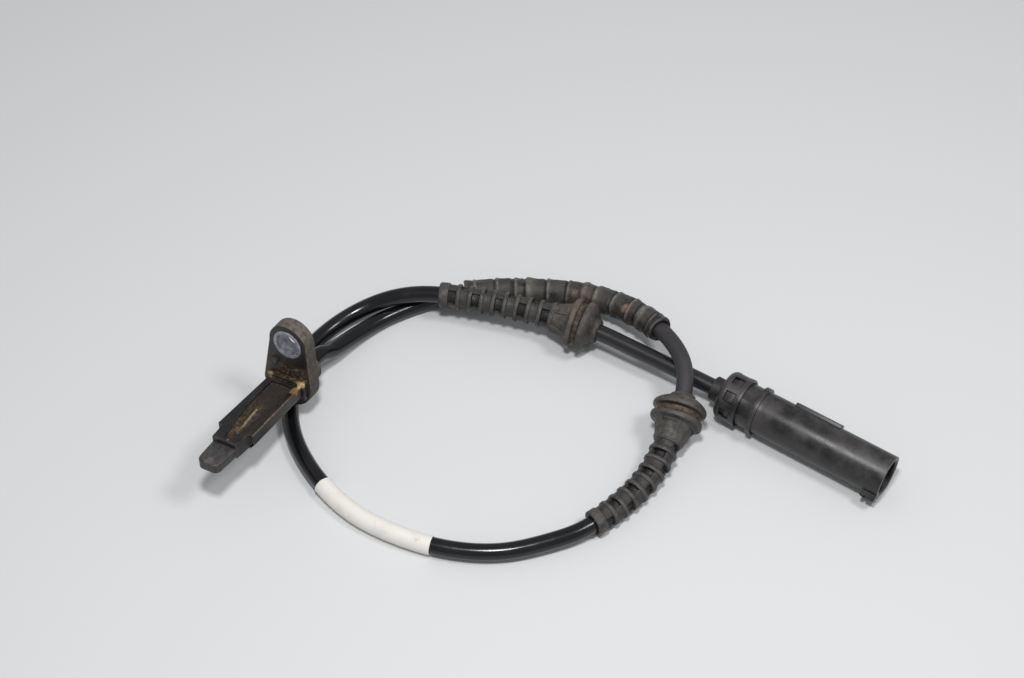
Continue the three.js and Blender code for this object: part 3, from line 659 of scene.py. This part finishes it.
def grommet(name, neck_at, direction, roll):
    piece = turned(name, grommet_outline(), 72)
    in_edit_mode(piece)
    windows = [
        (FIRST_WINDOW + i * RIB_PITCH, roll + (i % 2) * math.pi / 2 + half)
        for i in range(RIB_COUNT)
        for half in (0, math.pi)
    ]
    for middle, turn in windows:
        select_faces(piece, lambda centre, normal: (
            abs(centre.x - middle) < WINDOW_LENGTH / 2
            and math.hypot(centre.y, centre.z) > GROMMET_BORE + 0.3 * MM
            and angle_off(centre, turn) < WINDOW_HALF_ANGLE
        ))
        depth = relief_radius(middle) - WEB_DROP - WINDOW_FLOOR
        bpy.ops.mesh.extrude_region_shrink_fatten(TRANSFORM_OT_shrink_fatten={"value": -depth})
    for quarter in range(4):
        select_faces(piece, lambda centre, normal: (
            CONE_START < centre.x < CONE_END - 0.5 * MM
            and math.hypot(centre.y, centre.z) > GROMMET_BORE + 0.3 * MM
            and angle_off(centre, roll + quarter * math.pi / 2) < PAD_HALF_ANGLE
        ))
        bpy.ops.mesh.extrude_region_shrink_fatten(TRANSFORM_OT_shrink_fatten={"value": -PAD_DEPTH})
    out_of_edit_mode()
    soften_edges(piece, 0.13 * MM, segments=2, angle=38)
    stamped(piece, sunk_in_grommet)
    in_edit_mode(piece)
    bpy.ops.mesh.select_all(action="SELECT")
    bpy.ops.transform.resize(value=(direction, 1, 1), center_override=(0, 0, 0))
    bpy.ops.transform.translate(value=(neck_at, 0, 0))
    bpy.ops.mesh.normals_make_consistent(inside=False)
    out_of_edit_mode()
    laid_on_cable(piece)
    return piece


RUBBER_DUST = (0.053, 0.048, 0.0445)
GROOVE_BROWN = (0.15, 0.088, 0.05)
lower_grommet = grommet("lower_bend_relief", 158 * MM, 1, math.radians(100))
lower_dirt = [
    (beside_cable(161, (0, 1, 7.5)), 7, (0.145, 0.118, 0.086), 0.6),
    (beside_cable(163, (-6, -2, 2)), 5, (0.15, 0.10, 0.06), 0.55),
]
lower_groove = (5.3, 7.2, GROOVE_BROWN, 0.9)
lower_rubber = rubber_material("lower_rubber", RUBBER_DUST, 0.25, lower_dirt, lower_groove)
shaded(lower_grommet, lower_rubber, angle=35)
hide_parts("grommet_lower")
upper_grommet = grommet("upper_bend_relief", 441.2 * MM, -1, math.radians(48))
upper_dirt = [
    (beside_cable(435, (0, -6.5, -3.5)), 4.5, (0.115, 0.11, 0.05), 0.7),
    (beside_cable(433, (0, 1, 7.5)), 6, (0.15, 0.115, 0.08), 0.5),
]
upper_groove = (5.3, 9.2, (0.115, 0.085, 0.062), 0.7)
upper_rubber = rubber_material("upper_rubber", RUBBER_DUST, 0.25, upper_dirt, upper_groove)
shaded(upper_grommet, upper_rubber, angle=35)
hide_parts("grommet_upper")
bpy.data.objects.remove(cable_route)

# The plug's body: a long round tube moulded in satin black plastic, open at its front
# end. A ring, a raised key and a latch lug guide and hold it in the harness socket.

PLUG_LENGTH = 57 * MM
PLUG_RADIUS = 6.5 * MM
FRONT_RADIUS = 6.55 * MM
PLUG_BORE = 5.2 * MM
SOCKET_FLOOR = 40 * MM
BODY_REAR = 4.9 * MM
RING_RADIUS = 7.35 * MM
RING_FROM = 14.5 * MM
RING_TO = 16.1 * MM
LATCH_TURN = math.radians(84)


def mm(*values):
    return [value * MM for value in values]


def cutting_block(x0, x1, y0, y1, z0, z1, turn=0.0):
    """A block that cuts or joins, turned round the X axis."""
    middle = Vector(((x0 + x1) / 2, (y0 + y1) / 2, (z0 + z1) / 2))
    bpy.ops.mesh.primitive_cube_add(size=1, location=middle)
    block = bpy.context.object
    block.scale = (x1 - x0, y1 - y0, z1 - z0)
    bpy.ops.object.transform_apply(location=True, rotation=True, scale=True)
    block.rotation_euler = (turn, 0, 0)
    bpy.ops.object.transform_apply(location=True, rotation=True, scale=True)
    block.select_set(False)
    return block


def combined(piece, tool, operation, **settings):
    """Joins a tool to a piece or cuts it out, and removes the tool."""
    finished(piece, "BOOLEAN", object=tool, operation=operation, solver="EXACT", **settings)
    bpy.data.objects.remove(tool)


def settled(piece, turn, order="XYZ", at=(0, 0, 0)):
    """Turns and moves a piece from its own frame, and keeps its new place in its mesh."""
    taken_up(piece)
    piece.rotation_mode = order
    piece.rotation_euler = turn
    piece.location = at
    bpy.ops.object.transform_apply(location=True, rotation=True, scale=True)
    piece.select_set(False)


plug_outline = [
    (BODY_REAR, PLUG_BORE), (BODY_REAR, PLUG_RADIUS), (RING_FROM, PLUG_RADIUS),
    (RING_FROM, RING_RADIUS), (RING_TO, RING_RADIUS), (RING_TO, PLUG_RADIUS),
    (17.4 * MM, PLUG_RADIUS), (18.2 * MM, FRONT_RADIUS), (PLUG_LENGTH, FRONT_RADIUS),
    (PLUG_LENGTH, PLUG_BORE + 0.35 * MM), (PLUG_LENGTH - 0.5 * MM, PLUG_BORE),
    (SOCKET_FLOOR, PLUG_BORE), (SOCKET_FLOOR, 4.2 * MM), (38.3 * MM, 4.2 * MM), (38.3 * MM, PLUG_BORE),
    (BODY_REAR, PLUG_BORE),
]
plug = turned("plug_shell", plug_outline, 96)
key_rib = cutting_block(*mm(24.3, 39.2, -1.5, 1.5, 5.5, 7.35), math.radians(-90))
soften_edges(key_rib, 0.25 * MM, segments=3)
combined(plug, key_rib, "UNION")
latch = cutting_block(*mm(52.4, 56.8, -2.1, 2.1, 5.9, 8.2), LATCH_TURN)
soften_edges(latch, 0.3 * MM, segments=3)
latch_slot = cutting_block(*mm(53.5, 54.1, -3, 3, 7.5, 9), LATCH_TURN)
combined(latch, latch_slot, "DIFFERENCE")
combined(plug, latch, "UNION")
flat = cutting_block(*mm(48, 58, -2.3, 2.3, 5.95, 8), math.radians(128))
combined(plug, flat, "DIFFERENCE")
WINDOW_COUNT = 8
for i in range(WINDOW_COUNT):
    turn = i * 2 * math.pi / WINDOW_COUNT
    lug = cutting_block(*mm(7.0, 8.6, -1.4, 1.4, 5.6, 6.85), turn)
    combined(plug, lug, "UNION")
soften_edges(plug, 0.18 * MM, segments=3, angle=40)
settled(plug, PLUG_TURN, PLUG_ORDER, PLUG_AT)


def plug_material(name):
    """Satin black plastic with a coarse moulding grain, grey in patches that are painted mostly on its upper
    side as a painted sheen, and worn a little grey in scuffs.
    """
    paint = Paint(name, roughness=0.45)
    clouds = paint.noise(7 * MM, detail=5, roughness=0.6).ramp(0.35, 0.7)
    grain = paint.noise(0.45 * MM, detail=4, roughness=0.65)
    scuffs = paint.noise(1.6 * MM, detail=6, roughness=0.75).ramp(0.58, 0.8)
    # Painted sheen: the grey patches are weighted to the upward faces, lightening the top of the body like a
    # highlight band.
    black = paint.mix((0.0095, 0.0088, 0.0093), (0.056, 0.051, 0.052), clouds * (0.2 + 0.8 * paint.upward()))
    marked = paint.mix(black, (0.085, 0.077, 0.074), scuffs * 0.3)
    roughness = 0.25 + 0.1 * clouds + 0.16 * grain + 0.1 * scuffs
    return paint.finish(marked, roughness, grain, depth=0.06 * MM, strength=0.5)


plug_plastic = plug_material("plug_plastic")
shaded(plug, plug_plastic)
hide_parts("plug_body")

# The plug's cap: a ring that is pushed over the rear of the body and snaps onto its
# eight lugs through eight windows. It keeps the seal from sliding out along the cable.

CAP_START = 3.4 * MM
CAP_END = 10.6 * MM
CAP_RADIUS = 7.5 * MM
CAP_HOLE = 3.95 * MM
CAP_INNER = 6.68 * MM
cap_outline = [
    (CAP_START, CAP_HOLE), (CAP_START, CAP_RADIUS - 1.6 * MM), (3.6 * MM, CAP_RADIUS - 0.95 * MM),
    (4.1 * MM, CAP_RADIUS - 0.4 * MM), (4.75 * MM, CAP_RADIUS - 0.1 * MM), (5.3 * MM, CAP_RADIUS - 0.06 * MM),
    (9.5 * MM, CAP_RADIUS - 0.06 * MM), (9.6 * MM, CAP_RADIUS), (CAP_END, CAP_RADIUS), (CAP_END, CAP_INNER),
    (4.6 * MM, CAP_INNER), (4.6 * MM, CAP_HOLE), (CAP_START, CAP_HOLE),
]
cap = turned("plug_snap_cap", cap_outline, 96)
for i in range(WINDOW_COUNT):
    turn = i * 2 * math.pi / WINDOW_COUNT
    opening = cutting_block(*mm(5.65, 8.8, -1.6, 1.6, 5.6, 8.5), turn)
    combined(cap, opening, "DIFFERENCE")
soften_edges(cap, 0.2 * MM, segments=3, angle=35)
settled(cap, PLUG_TURN, PLUG_ORDER, PLUG_AT)
shaded(cap, plug_plastic)
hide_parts("plug_cap")

# The plug's seal: a soft ring with three lips inside the body. Only its collar shows,
# where the cable goes in.

SEAL_BORE = 2.6 * MM
seal_outline = [(0, SEAL_BORE), mm(0, 3.45), mm(0.25, 3.7), mm(3.0, 3.7), mm(4.9, 3.7)]
for i in range(3):
    start = (4.9 + i * 2.35) * MM
    lip = ((0, 4.5), (0.5, 5.0), (1.0, 5.0), (1.5, 4.5))
    seal_outline += [(start + x * MM, r * MM) for x, r in lip]
seal_outline += [mm(11.9, 4.4), (11.9 * MM, SEAL_BORE), (0, SEAL_BORE)]
seal = turned("plug_cable_seal", seal_outline, 64)
settled(seal, PLUG_TURN, PLUG_ORDER, PLUG_AT)


def seal_material(name):
    """Dark elastic rubber with a faint bloom."""
    paint = Paint(name, roughness=0.6)
    bloom = paint.noise(3 * MM, detail=5).ramp(0.4, 0.75)
    fine = paint.noise(0.4 * MM, detail=3)
    colour = paint.mix((0.014, 0.014, 0.015), (0.05, 0.047, 0.045), bloom)
    return paint.finish(colour, 0.5 + 0.2 * bloom, fine, depth=0.04 * MM, strength=0.5)


seal_rubber = seal_material("seal_rubber")
shaded(seal, seal_rubber)
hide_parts("plug_seal")

# The sensor housing: flange, probe, stepped nose and cable neck in one moulding of
# glass-filled plastic over the electronics. Its open recess and root hold road dirt.

BUSH_RISE = 9 * MM
FLANGE_THICKNESS = 4.8 * MM
FLANGE_TOP_RADIUS = 6.3 * MM
FLANGE_FOOT_RADIUS = 8.2 * MM
FLANGE_FOOT_SHIFT = Vector((-1.5, 0, -14.6)) * MM


def drawn(name, points, pull):
    """A flat outline drawn out into a solid: its corners are extruded one from another,
    filled as one face, and the face is pulled."""
    bpy.ops.mesh.primitive_plane_add(size=MM)
    piece = bpy.context.object
    piece.name = name
    bpy.ops.object.mode_set(mode="EDIT")
    bpy.ops.mesh.select_mode(type="VERT")
    bpy.ops.mesh.select_all(action="SELECT")
    bpy.ops.mesh.merge(type="CENTER")
    bpy.ops.transform.translate(value=points[0])
    for start, end in zip(points, points[1:]):
        step = {"value": Vector(end) - Vector(start)}
        bpy.ops.mesh.extrude_region_move(TRANSFORM_OT_translate=step)
    bpy.ops.mesh.select_all(action="SELECT")
    bpy.ops.mesh.edge_face_add()
    bpy.ops.mesh.extrude_region_move(TRANSFORM_OT_translate={"value": pull})
    bpy.ops.mesh.select_all(action="SELECT")
    bpy.ops.mesh.normals_make_consistent(inside=False)
    out_of_edit_mode()
    return piece


def select_corners(piece, wanted):
    select_parts(piece, "VERT", lambda corner: wanted(corner.co))


def flange():
    quarter = (math.pi / 2, 0, 0)
    circle = {"vertices": 96, "radius": FLANGE_TOP_RADIUS, "fill_type": "NGON"}
    bpy.ops.mesh.primitive_circle_add(location=(0, 0, BUSH_RISE), rotation=quarter, **circle)
    piece = bpy.context.object
    piece.name = "sensor_head"
    bpy.ops.object.transform_apply(location=True, rotation=True, scale=True)
    in_edit_mode(piece)
    select_corners(piece, lambda place: place.z < BUSH_RISE - 0.01 * MM)
    growth = FLANGE_FOOT_RADIUS / FLANGE_TOP_RADIUS
    bpy.ops.transform.resize(value=(growth, 1, growth), center_override=(0, 0, BUSH_RISE))
    bpy.ops.transform.translate(value=FLANGE_FOOT_SHIFT)
    bpy.ops.mesh.select_all(action="SELECT")
    bpy.ops.mesh.extrude_region_move(TRANSFORM_OT_translate={"value": (0, FLANGE_THICKNESS, 0)})
    bpy.ops.mesh.select_all(action="SELECT")
    bpy.ops.mesh.normals_make_consistent(inside=False)
    out_of_edit_mode()
    soften_edges(piece, 0.45 * MM, segments=4, angle=50)
    return piece


PROBE_LEFT = PROBE_MIDDLE - 5.5 * MM
PROBE_RIGHT = PROBE_MIDDLE + 5.5 * MM
PROBE_TOP = -3.9 * MM
PROBE_FLOOR = -9.3 * MM
PROBE_FRONT = -25.3 * MM
PROBE_CHAMFER = 1.6 * MM
PROBE_FLARE = 0.9 * MM
NOSE_MIDDLE = PROBE_MIDDLE - 0.5 * MM
SHOULDER_FRONT = -30.8 * MM
NOSE_TIP = -39.3 * MM
NOSE_TOP = PROBE_TOP - 1.5 * MM
NOSE_FLOOR = PROBE_FLOOR + 0.4 * MM

NOSE_ROUNDING = 1.7 * MM
POCKET_HALF = 2.5 * MM


def narrowed_front(piece, front, share):
    """Narrows the front end of a block that lies along the nose's middle."""
    in_edit_mode(piece)
    select_corners(piece, lambda place: place.y < front + MM)
    bpy.ops.transform.resize(value=(share, 1, 1), center_override=(NOSE_MIDDLE, 0, 0))


head = flange()
flared_left = PROBE_LEFT - PROBE_FLARE
probe_section = [
    (flared_left, PROBE_FRONT, PROBE_TOP),
    (flared_left, PROBE_FRONT, PROBE_FLOOR + PROBE_CHAMFER),
    (flared_left + PROBE_CHAMFER, PROBE_FRONT, PROBE_FLOOR),
    (PROBE_RIGHT - PROBE_CHAMFER, PROBE_FRONT, PROBE_FLOOR),
    (PROBE_RIGHT, PROBE_FRONT, PROBE_FLOOR + PROBE_CHAMFER),
    (PROBE_RIGHT, PROBE_FRONT, PROBE_TOP),
]
probe = drawn("probe", probe_section, (0, -PROBE_FRONT + MM, 0))
in_edit_mode(probe)
select_corners(probe, lambda place: place.y > 0 and place.x < PROBE_MIDDLE)
bpy.ops.transform.translate(value=(PROBE_FLARE, 0, 0))
out_of_edit_mode()
shoulder = cutting_block(NOSE_MIDDLE - 4.5 * MM, NOSE_MIDDLE + 4.5 * MM, SHOULDER_FRONT, PROBE_FRONT + MM,
                         NOSE_FLOOR, PROBE_TOP)
narrowed_front(shoulder, SHOULDER_FRONT, 0.9)
out_of_edit_mode()
combined(probe, shoulder, "UNION")

RAIL = 1.8 * MM
RECESS_BACK = -2.6 * MM
RECESS_TAPER = -14.5 * MM
RECESS_FRONT = SHOULDER_FRONT + 1.2 * MM
RECESS_FLOOR = PROBE_TOP - 1.2 * MM
recess_outline = [
    (PROBE_LEFT + RAIL, RECESS_BACK, RECESS_FLOOR),
    (PROBE_LEFT + RAIL, RECESS_TAPER, RECESS_FLOOR),
    (NOSE_MIDDLE - RAIL / 2, RECESS_FRONT, RECESS_FLOOR),
    (NOSE_MIDDLE + RAIL / 2, RECESS_FRONT, RECESS_FLOOR),
    (PROBE_RIGHT - RAIL, PROBE_FRONT + RAIL, RECESS_FLOOR),
    (PROBE_RIGHT - RAIL, RECESS_BACK, RECESS_FLOOR),
]
recess = drawn("recess", recess_outline, (0, 0, 3 * MM))
combined(probe, recess, "DIFFERENCE")
soften_edges(probe, 0.2 * MM, segments=3, angle=25)

ridge_floor = RECESS_FLOOR - 0.2 * MM
ridge_outline = [
    (PROBE_LEFT + RAIL - 0.2 * MM, RECESS_TAPER, ridge_floor),
    (NOSE_MIDDLE, RECESS_FRONT - 0.2 * MM, ridge_floor),
    (PROBE_MIDDLE + 2.2 * MM, RECESS_TAPER - RAIL, ridge_floor),
]
ridge = drawn("ridge", ridge_outline, (0, 0, 0.6 * MM))
in_edit_mode(ridge)
select_corners(ridge, lambda place: place.z > ridge_floor + 0.1 * MM and place.y > RECESS_FRONT + MM)
bpy.ops.mesh.merge(type="CENTER")
bpy.ops.transform.translate(value=(0.55 * MM, 0.2 * MM, 0.7 * MM))
bpy.ops.mesh.select_all(action="SELECT")
bpy.ops.mesh.normals_make_consistent(inside=False)
out_of_edit_mode()
combined(probe, ridge, "UNION")
combined(head, probe, "UNION")

nose = cutting_block(NOSE_MIDDLE - 3.9 * MM, NOSE_MIDDLE + 3.9 * MM, NOSE_TIP, SHOULDER_FRONT + 0.5 * MM,
                     NOSE_FLOOR + 0.4 * MM, NOSE_TOP)
narrowed_front(nose, NOSE_TIP, 0.87)
select_parts(nose, "EDGE", lambda edge: (
    all(corner.co.y < NOSE_TIP + MM for corner in edge.verts)
    and abs(edge.verts[0].co.x - edge.verts[1].co.x) < 0.1 * MM
))
bpy.ops.mesh.bevel(offset=NOSE_ROUNDING, segments=6)
out_of_edit_mode()
soften_edges(nose, 0.3 * MM, segments=3)
combined(head, nose, "UNION")

ROOT_SWELL = 0.9 * MM
root = cutting_block(PROBE_LEFT - ROOT_SWELL, PROBE_RIGHT + ROOT_SWELL, -1.3 * MM, MM, PROBE_FLOOR,
                     PROBE_TOP + ROOT_SWELL)
soften_edges(root, 0.4 * MM, segments=3)
combined(head, root, "UNION")


def turned_along_y(name, outline, steps, x, z):
    piece = turned(name, outline, steps)
    settled(piece, (0, 0, math.pi / 2), at=(x, 0, z))
    return piece


NECK_RADIUS = 4.5 * MM
neck_outline = [
    (FLANGE_THICKNESS - MM, 0), (FLANGE_THICKNESS - MM, NECK_RADIUS), (NECK_END - 0.5 * MM, NECK_RADIUS),
    (NECK_END, NECK_RADIUS - 0.5 * MM), (NECK_END, 0),
]
neck = turned_along_y("neck", neck_outline, 64, PROBE_MIDDLE, CABLE_AXIS_Z)
combined(head, neck, "UNION")
boss_outline = [mm(-0.6, 0), mm(-0.6, 1.0), mm(-0.35, 1.3), mm(1, 1.3), mm(1, 0)]
boss = turned_along_y("boss", boss_outline, 32, *mm(-4.8, 1.7))
combined(head, boss, "UNION")
hole_outline = [mm(-1, 0), mm(-1, 4.72), mm(6, 4.72), mm(6, 0)]
bush_hole = turned_along_y("bush_hole", hole_outline, 64, 0, BUSH_RISE)
combined(head, bush_hole, "DIFFERENCE")
bore_outline = [mm(3.4, 0), mm(3.4, 3.5), mm(12, 3.5), mm(12, 0)]
neck_bore = turned_along_y("neck_bore", bore_outline, 49, PROBE_MIDDLE, CABLE_AXIS_Z)
combined(head, neck_bore, "DIFFERENCE")
pocket = cutting_block(PROBE_MIDDLE - POCKET_HALF, PROBE_MIDDLE + POCKET_HALF, *mm(-37.9, 4.4, -8, -5.7))
combined(head, pocket, "DIFFERENCE", use_self=True)
settled(head, HEAD_TURN, HEAD_ORDER)


def moulding_material():
    """Black glass-filled plastic under a brown film, with pale deposits where dirt collects, a painted sheen
    on the nose's top, and worn edges that also carry a painted highlight.
    """
    paint = Paint("moulding", roughness=0.5)
    angles = {"Rotation": (math.radians(10.5), math.radians(7), 0)}
    own = paint.node("ShaderNodeMapping", {}, {"Vector": paint.place, **angles})
    across, back, height = (paint.part(own, axis) for axis in range(3))
    facing = paint.node("ShaderNodeMapping", {}, {"Vector": paint.normal, **angles})
    clouds = paint.noise(3.5 * MM, detail=6, roughness=0.65)
    grit = paint.noise(0.5 * MM, detail=4, roughness=0.75)
    coarse = paint.noise(1.3 * MM, detail=5, roughness=0.7)
    film = clouds.ramp(0.35, 0.7)
    plastic = paint.mix((0.006, 0.005, 0.0045), (0.019, 0.0145, 0.0115), film)

    facing_front = (0 - paint.part(facing, 1)).ramp(0.3, 0.8)
    rim = back.ramp(*mm(-0.5, 0.3)) * (1 - facing_front)
    rim_dust = rim * (0.4 + 0.6 * coarse.ramp(0.35, 0.6)) * (0.25 + 0.75 * paint.upward())
    dust_and_nose_sheen = paint.mix(plastic, (0.150, 0.128, 0.107), rim_dust)
    # Painted sheen: the nose's upward faces beyond the shoulder are painted a lighter grey.
    nose_top_sheen = back.ramp(*mm(-29.5, -31.5)) * paint.upward()
    dust_and_nose_sheen = paint.mix(dust_and_nose_sheen, (0.062, 0.059, 0.060), nose_top_sheen * (0.35 + 0.65 * coarse.ramp(0.35, 0.6)))

    low = height.ramp(PROBE_TOP - 0.3 * MM, PROBE_TOP - 0.9 * MM)
    inside = across.ramp(PROBE_LEFT + 1.3 * MM, PROBE_LEFT + 2.2 * MM) * across.ramp(
        PROBE_RIGHT - 1.3 * MM, PROBE_RIGHT - 2.2 * MM)
    in_recess = low * inside * back.ramp(RECESS_FRONT - MM, RECESS_FRONT) * back.ramp(*mm(-1, -3))
    front_left = back.ramp(*mm(-9, -17)) * across.ramp(PROBE_MIDDLE + 1.5 * MM, PROBE_MIDDLE - 1 * MM)
    speckle = (grit * 1.3 + coarse * 0.9).ramp(0.95, 1.25)
    caked = in_recess * speckle * (0.12 + 0.88 * front_left)
    dirty = paint.mix(dust_and_nose_sheen, (0.175, 0.105, 0.05), caked * 0.85)

    off_ridge = across - PROBE_MIDDLE + 0.2 * MM + 0.03 * (back + 15 * MM)
    ridge_line = (off_ridge * off_ridge).ramp((0.36 * MM) ** 2, 0) * height.ramp(
        RECESS_FLOOR + 0.05 * MM, RECESS_FLOOR + 0.25 * MM)
    ridge_line = ridge_line * back.ramp(*mm(-14, -15.5)) * back.ramp(RECESS_FRONT - MM, RECESS_FRONT)
    ridge_line = ridge_line * (0.45 + 0.55 * (coarse + grit).ramp(0.85, 1.15))
    lined = paint.mix(dirty, (0.40, 0.30, 0.165), ridge_line * 0.85)
    rail_edge = across.ramp(PROBE_RIGHT - 0.45 * MM, PROBE_RIGHT - 0.1 * MM) * height.ramp(
        PROBE_TOP - 0.4 * MM, PROBE_TOP - 0.1 * MM) * back.ramp(*mm(-1, -2))
    lined = paint.mix(lined, (0.27, 0.17, 0.08), rail_edge * (0.3 + 0.7 * coarse.ramp(0.4, 0.6)) * 0.8)
    # Worn edges and painted highlight: the middles of the bevels, most on the flange's right-hand edge, are
    # painted a light brown line.
    bevels = paint.part(facing, 2).ramp(0.15, 0.95)
    slant = 4 * bevels * (1 - bevels) * back.ramp(0, -1 * MM)
    brow = 4 * facing_front * (1 - facing_front) * back.ramp(*mm(0.9, 0.4))
    worn_and_highlit_edge = (slant + brow * (0.25 + across.ramp(0, 5 * MM))) * coarse.ramp(0.4, 0.62)
    crust_and_edge_highlight = paint.mix(lined, (0.20, 0.165, 0.125), worn_and_highlit_edge * 0.45)
    root = height.ramp(*mm(-4.6, -3.2)) * height.ramp(*mm(2.2, 0.2)) * back.ramp(*mm(-2.6, -1.2))
    root = root * back.ramp(*mm(0.4, 0)) * across.ramp(*mm(6.2, 4.6))
    crust_and_edge_highlight = paint.mix(crust_and_edge_highlight, (0.040, 0.024, 0.014), root * coarse.ramp(0.35, 0.6) * 0.8)
    crumbs = root * (coarse * 0.9 + grit * 1.5).ramp(1.22, 1.42)
    crust_and_edge_highlight = paint.mix(crust_and_edge_highlight, (0.23, 0.145, 0.065), crumbs * 0.9)
    bulk = caked + crumbs
    for place, reach, colour, share in (
        ((-4.6, -0.7, -1.2), 3.0, (0.07, 0.038, 0.018), 0.8),
        ((-6.2, -1.2, -3.2), 2.0, (0.36, 0.25, 0.11), 0.8),
        ((3.6, -3.6, -4.1), 3.2, (0.24, 0.125, 0.045), 0.85),
        ((4.3, -1.5, -3.2), 2.9, (0.60, 0.43, 0.21), 1.0),
        ((3.4, -0.9, -2.2), 2.2, (0.33, 0.20, 0.085), 0.8),
        ((-4.8, -0.9, 1.7), 1.6, (0.085, 0.078, 0.07), 0.8),
        ((-1.5, -24.5, -4.2), 2.6, (0.20, 0.155, 0.10), 0.5),
        ((-1.6, -38.0, -5.4), 2.6, (0.14, 0.125, 0.11), 0.6),
    ):
        centre = tuple(Vector(place) * MM)
        spot = (paint.near(centre, reach * MM, own) * 1.15 + coarse * 1.9 + grit * 1.3 - 1.9).ramp(0.12, 0.55)
        crust_and_edge_highlight = paint.mix(crust_and_edge_highlight, colour, spot * share)
        bulk = bulk + spot * share
    scuffs = paint.noise(1.5 * MM, detail=6, roughness=0.8).ramp(0.62, 0.8)
    worn = paint.mix(crust_and_edge_highlight, (0.11, 0.095, 0.082), scuffs * 0.3)
    roughness = 0.26 + 0.2 * film + 0.35 * rim + 0.2 * in_recess + 0.12 * grit + 0.2 * bulk
    return paint.finish(worn, roughness, grit + 0.8 * coarse + 1.2 * bulk, depth=0.16 * MM, strength=0.75)


shaded(head, moulding_material(), angle=28)
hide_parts("sensor_housing")

# The bolt bush: a short steel tube moulded into the flange, so that the bolt clamps on
# metal. Its zinc has gone dull and grey.

bush_outline = [
    mm(-0.3, 3.75), mm(-0.3, 4.4), mm(-0.05, 4.65), mm(4.85, 4.65), mm(5.1, 4.4), mm(5.1, 3.75),
    mm(4.85, 3.5), mm(-0.05, 3.5), mm(-0.3, 3.75),
]
bush = turned_along_y("bolt_bush", bush_outline, 96, 0, BUSH_RISE)
settled(bush, HEAD_TURN, HEAD_ORDER)


def zinc_material():
    """Dull zinc-plated steel: grey with soft patches, tarnish and fine drawn lines."""
    paint = Paint("zinc", roughness=0.4, metallic=0.7)
    patches = paint.noise(2.0 * MM, detail=5, roughness=0.65).ramp(0.35, 0.65)
    fine = paint.noise(0.3 * MM, detail=4)
    grey = paint.mix((0.22, 0.225, 0.26), (0.44, 0.45, 0.49), patches)
    tarnish = paint.mix(grey, (0.13, 0.115, 0.10), paint.noise(0.9 * MM, detail=5).ramp(0.52, 0.72) * 0.55)
    roughness = 0.26 + 0.22 * fine + 0.14 * patches
    return paint.finish(tarnish, roughness, fine + patches, depth=0.07 * MM, strength=0.6)


shaded(bush, zinc_material())
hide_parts("mounting_bush")

# What the head and plug hold: chip, magnet, leads, crimps, cores and contacts, carried
# over as they are, each in its own plain finish. The contacts show in the open socket.


def plain_material(name, dark, light, roughness, metallic=0.0, grain=0.4 * MM):
    """A small part's finish: two near tones, mottled, with a fine grain."""
    paint = Paint(name, roughness=roughness, metallic=metallic)
    mottle = paint.noise(6 * grain, detail=4).ramp(0.35, 0.7)
    fine = paint.noise(grain, detail=3)
    colour = paint.mix(dark, light, mottle)
    return paint.finish(colour, roughness + 0.12 * fine, fine, depth=0.03 * MM, strength=0.4)


tinned = plain_material("tinned_copper", (0.50, 0.47, 0.42), (0.66, 0.63, 0.58), 0.3, metallic=1.0)
contact_brass = plain_material("contact_brass", (0.55, 0.42, 0.17), (0.72, 0.58, 0.27), 0.28, metallic=1.0)
carrier_plastic = plain_material("carrier_plastic", (0.14, 0.125, 0.10), (0.19, 0.17, 0.13), 0.55)
brown_core = plain_material("brown_core", (0.10, 0.045, 0.02), (0.14, 0.065, 0.03), 0.45)
blue_core = plain_material("blue_core", (0.025, 0.07, 0.18), (0.04, 0.10, 0.24), 0.45)
carried_over = {
    "neck_seal": seal_rubber,
    "chip_carrier": carrier_plastic,
    "sensor_chip": plain_material("chip_epoxy", (0.012, 0.012, 0.014), (0.02, 0.02, 0.022), 0.4),
    "bias_magnet": plain_material("magnet", (0.14, 0.14, 0.145), (0.2, 0.2, 0.205), 0.42, metallic=0.8),
    "capacitor": plain_material("ceramic", (0.36, 0.22, 0.10), (0.45, 0.29, 0.14), 0.5),
    "contact_carrier": plug_plastic,
    "terminal_lock": carrier_plastic,
}
for side, core in (("left", brown_core), ("right", blue_core)):
    carried_over[f"lead_{side}"] = tinned
    carried_over[f"wire_crimp_{side}"] = tinned
    carried_over[f"terminal_{side}"] = contact_brass
    carried_over[f"head_core_{side}"] = core
    carried_over[f"plug_core_{side}"] = core
for name, material in carried_over.items():
    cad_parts[name].data.materials.clear()
    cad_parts[name].data.materials.append(material)

# The table and the light: a plain pale surface under a small lamp from the camera's side,
# high up, a softer one from the right, and an even pale surround.

table_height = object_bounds()[0].z
bpy.ops.mesh.primitive_plane_add(size=4, location=(0, 0, table_height))
table = bpy.context.object
table.name = "table"
table_paint = Paint("table", roughness=0.75)
table.data.materials.append(table_paint.finish((0.705, 0.715, 0.722)))

lit_place = Vector((0.05, 0.03, table_height))
for name, direction, distance, size, watts in (
    ("lamp", (0.13, -0.26, 0.957), 0.6, 0.075, 1.78),
    ("side_lamp", (0.465, 0.103, 0.879), 0.68, 0.16, 1.13),
):
    lamp_data = bpy.data.lights.new(name, "AREA")
    lamp_data.shape = "DISK"
    lamp_data.size = size
    lamp_data.energy = watts
    lamp = bpy.data.objects.new(name, lamp_data)
    lamp.location = lit_place + Vector(direction) * distance
    lamp.rotation_euler = (lit_place - lamp.location).to_track_quat("-Z", "Y").to_euler()
    bpy.context.scene.collection.objects.link(lamp)
world = bpy.data.worlds.new("surround")
world.use_nodes = True
surround = world.node_tree.nodes["Background"].inputs
surround["Color"].default_value = (0.97, 0.98, 1.0, 1)
surround["Strength"].default_value = 0.36
bpy.context.scene.world = world
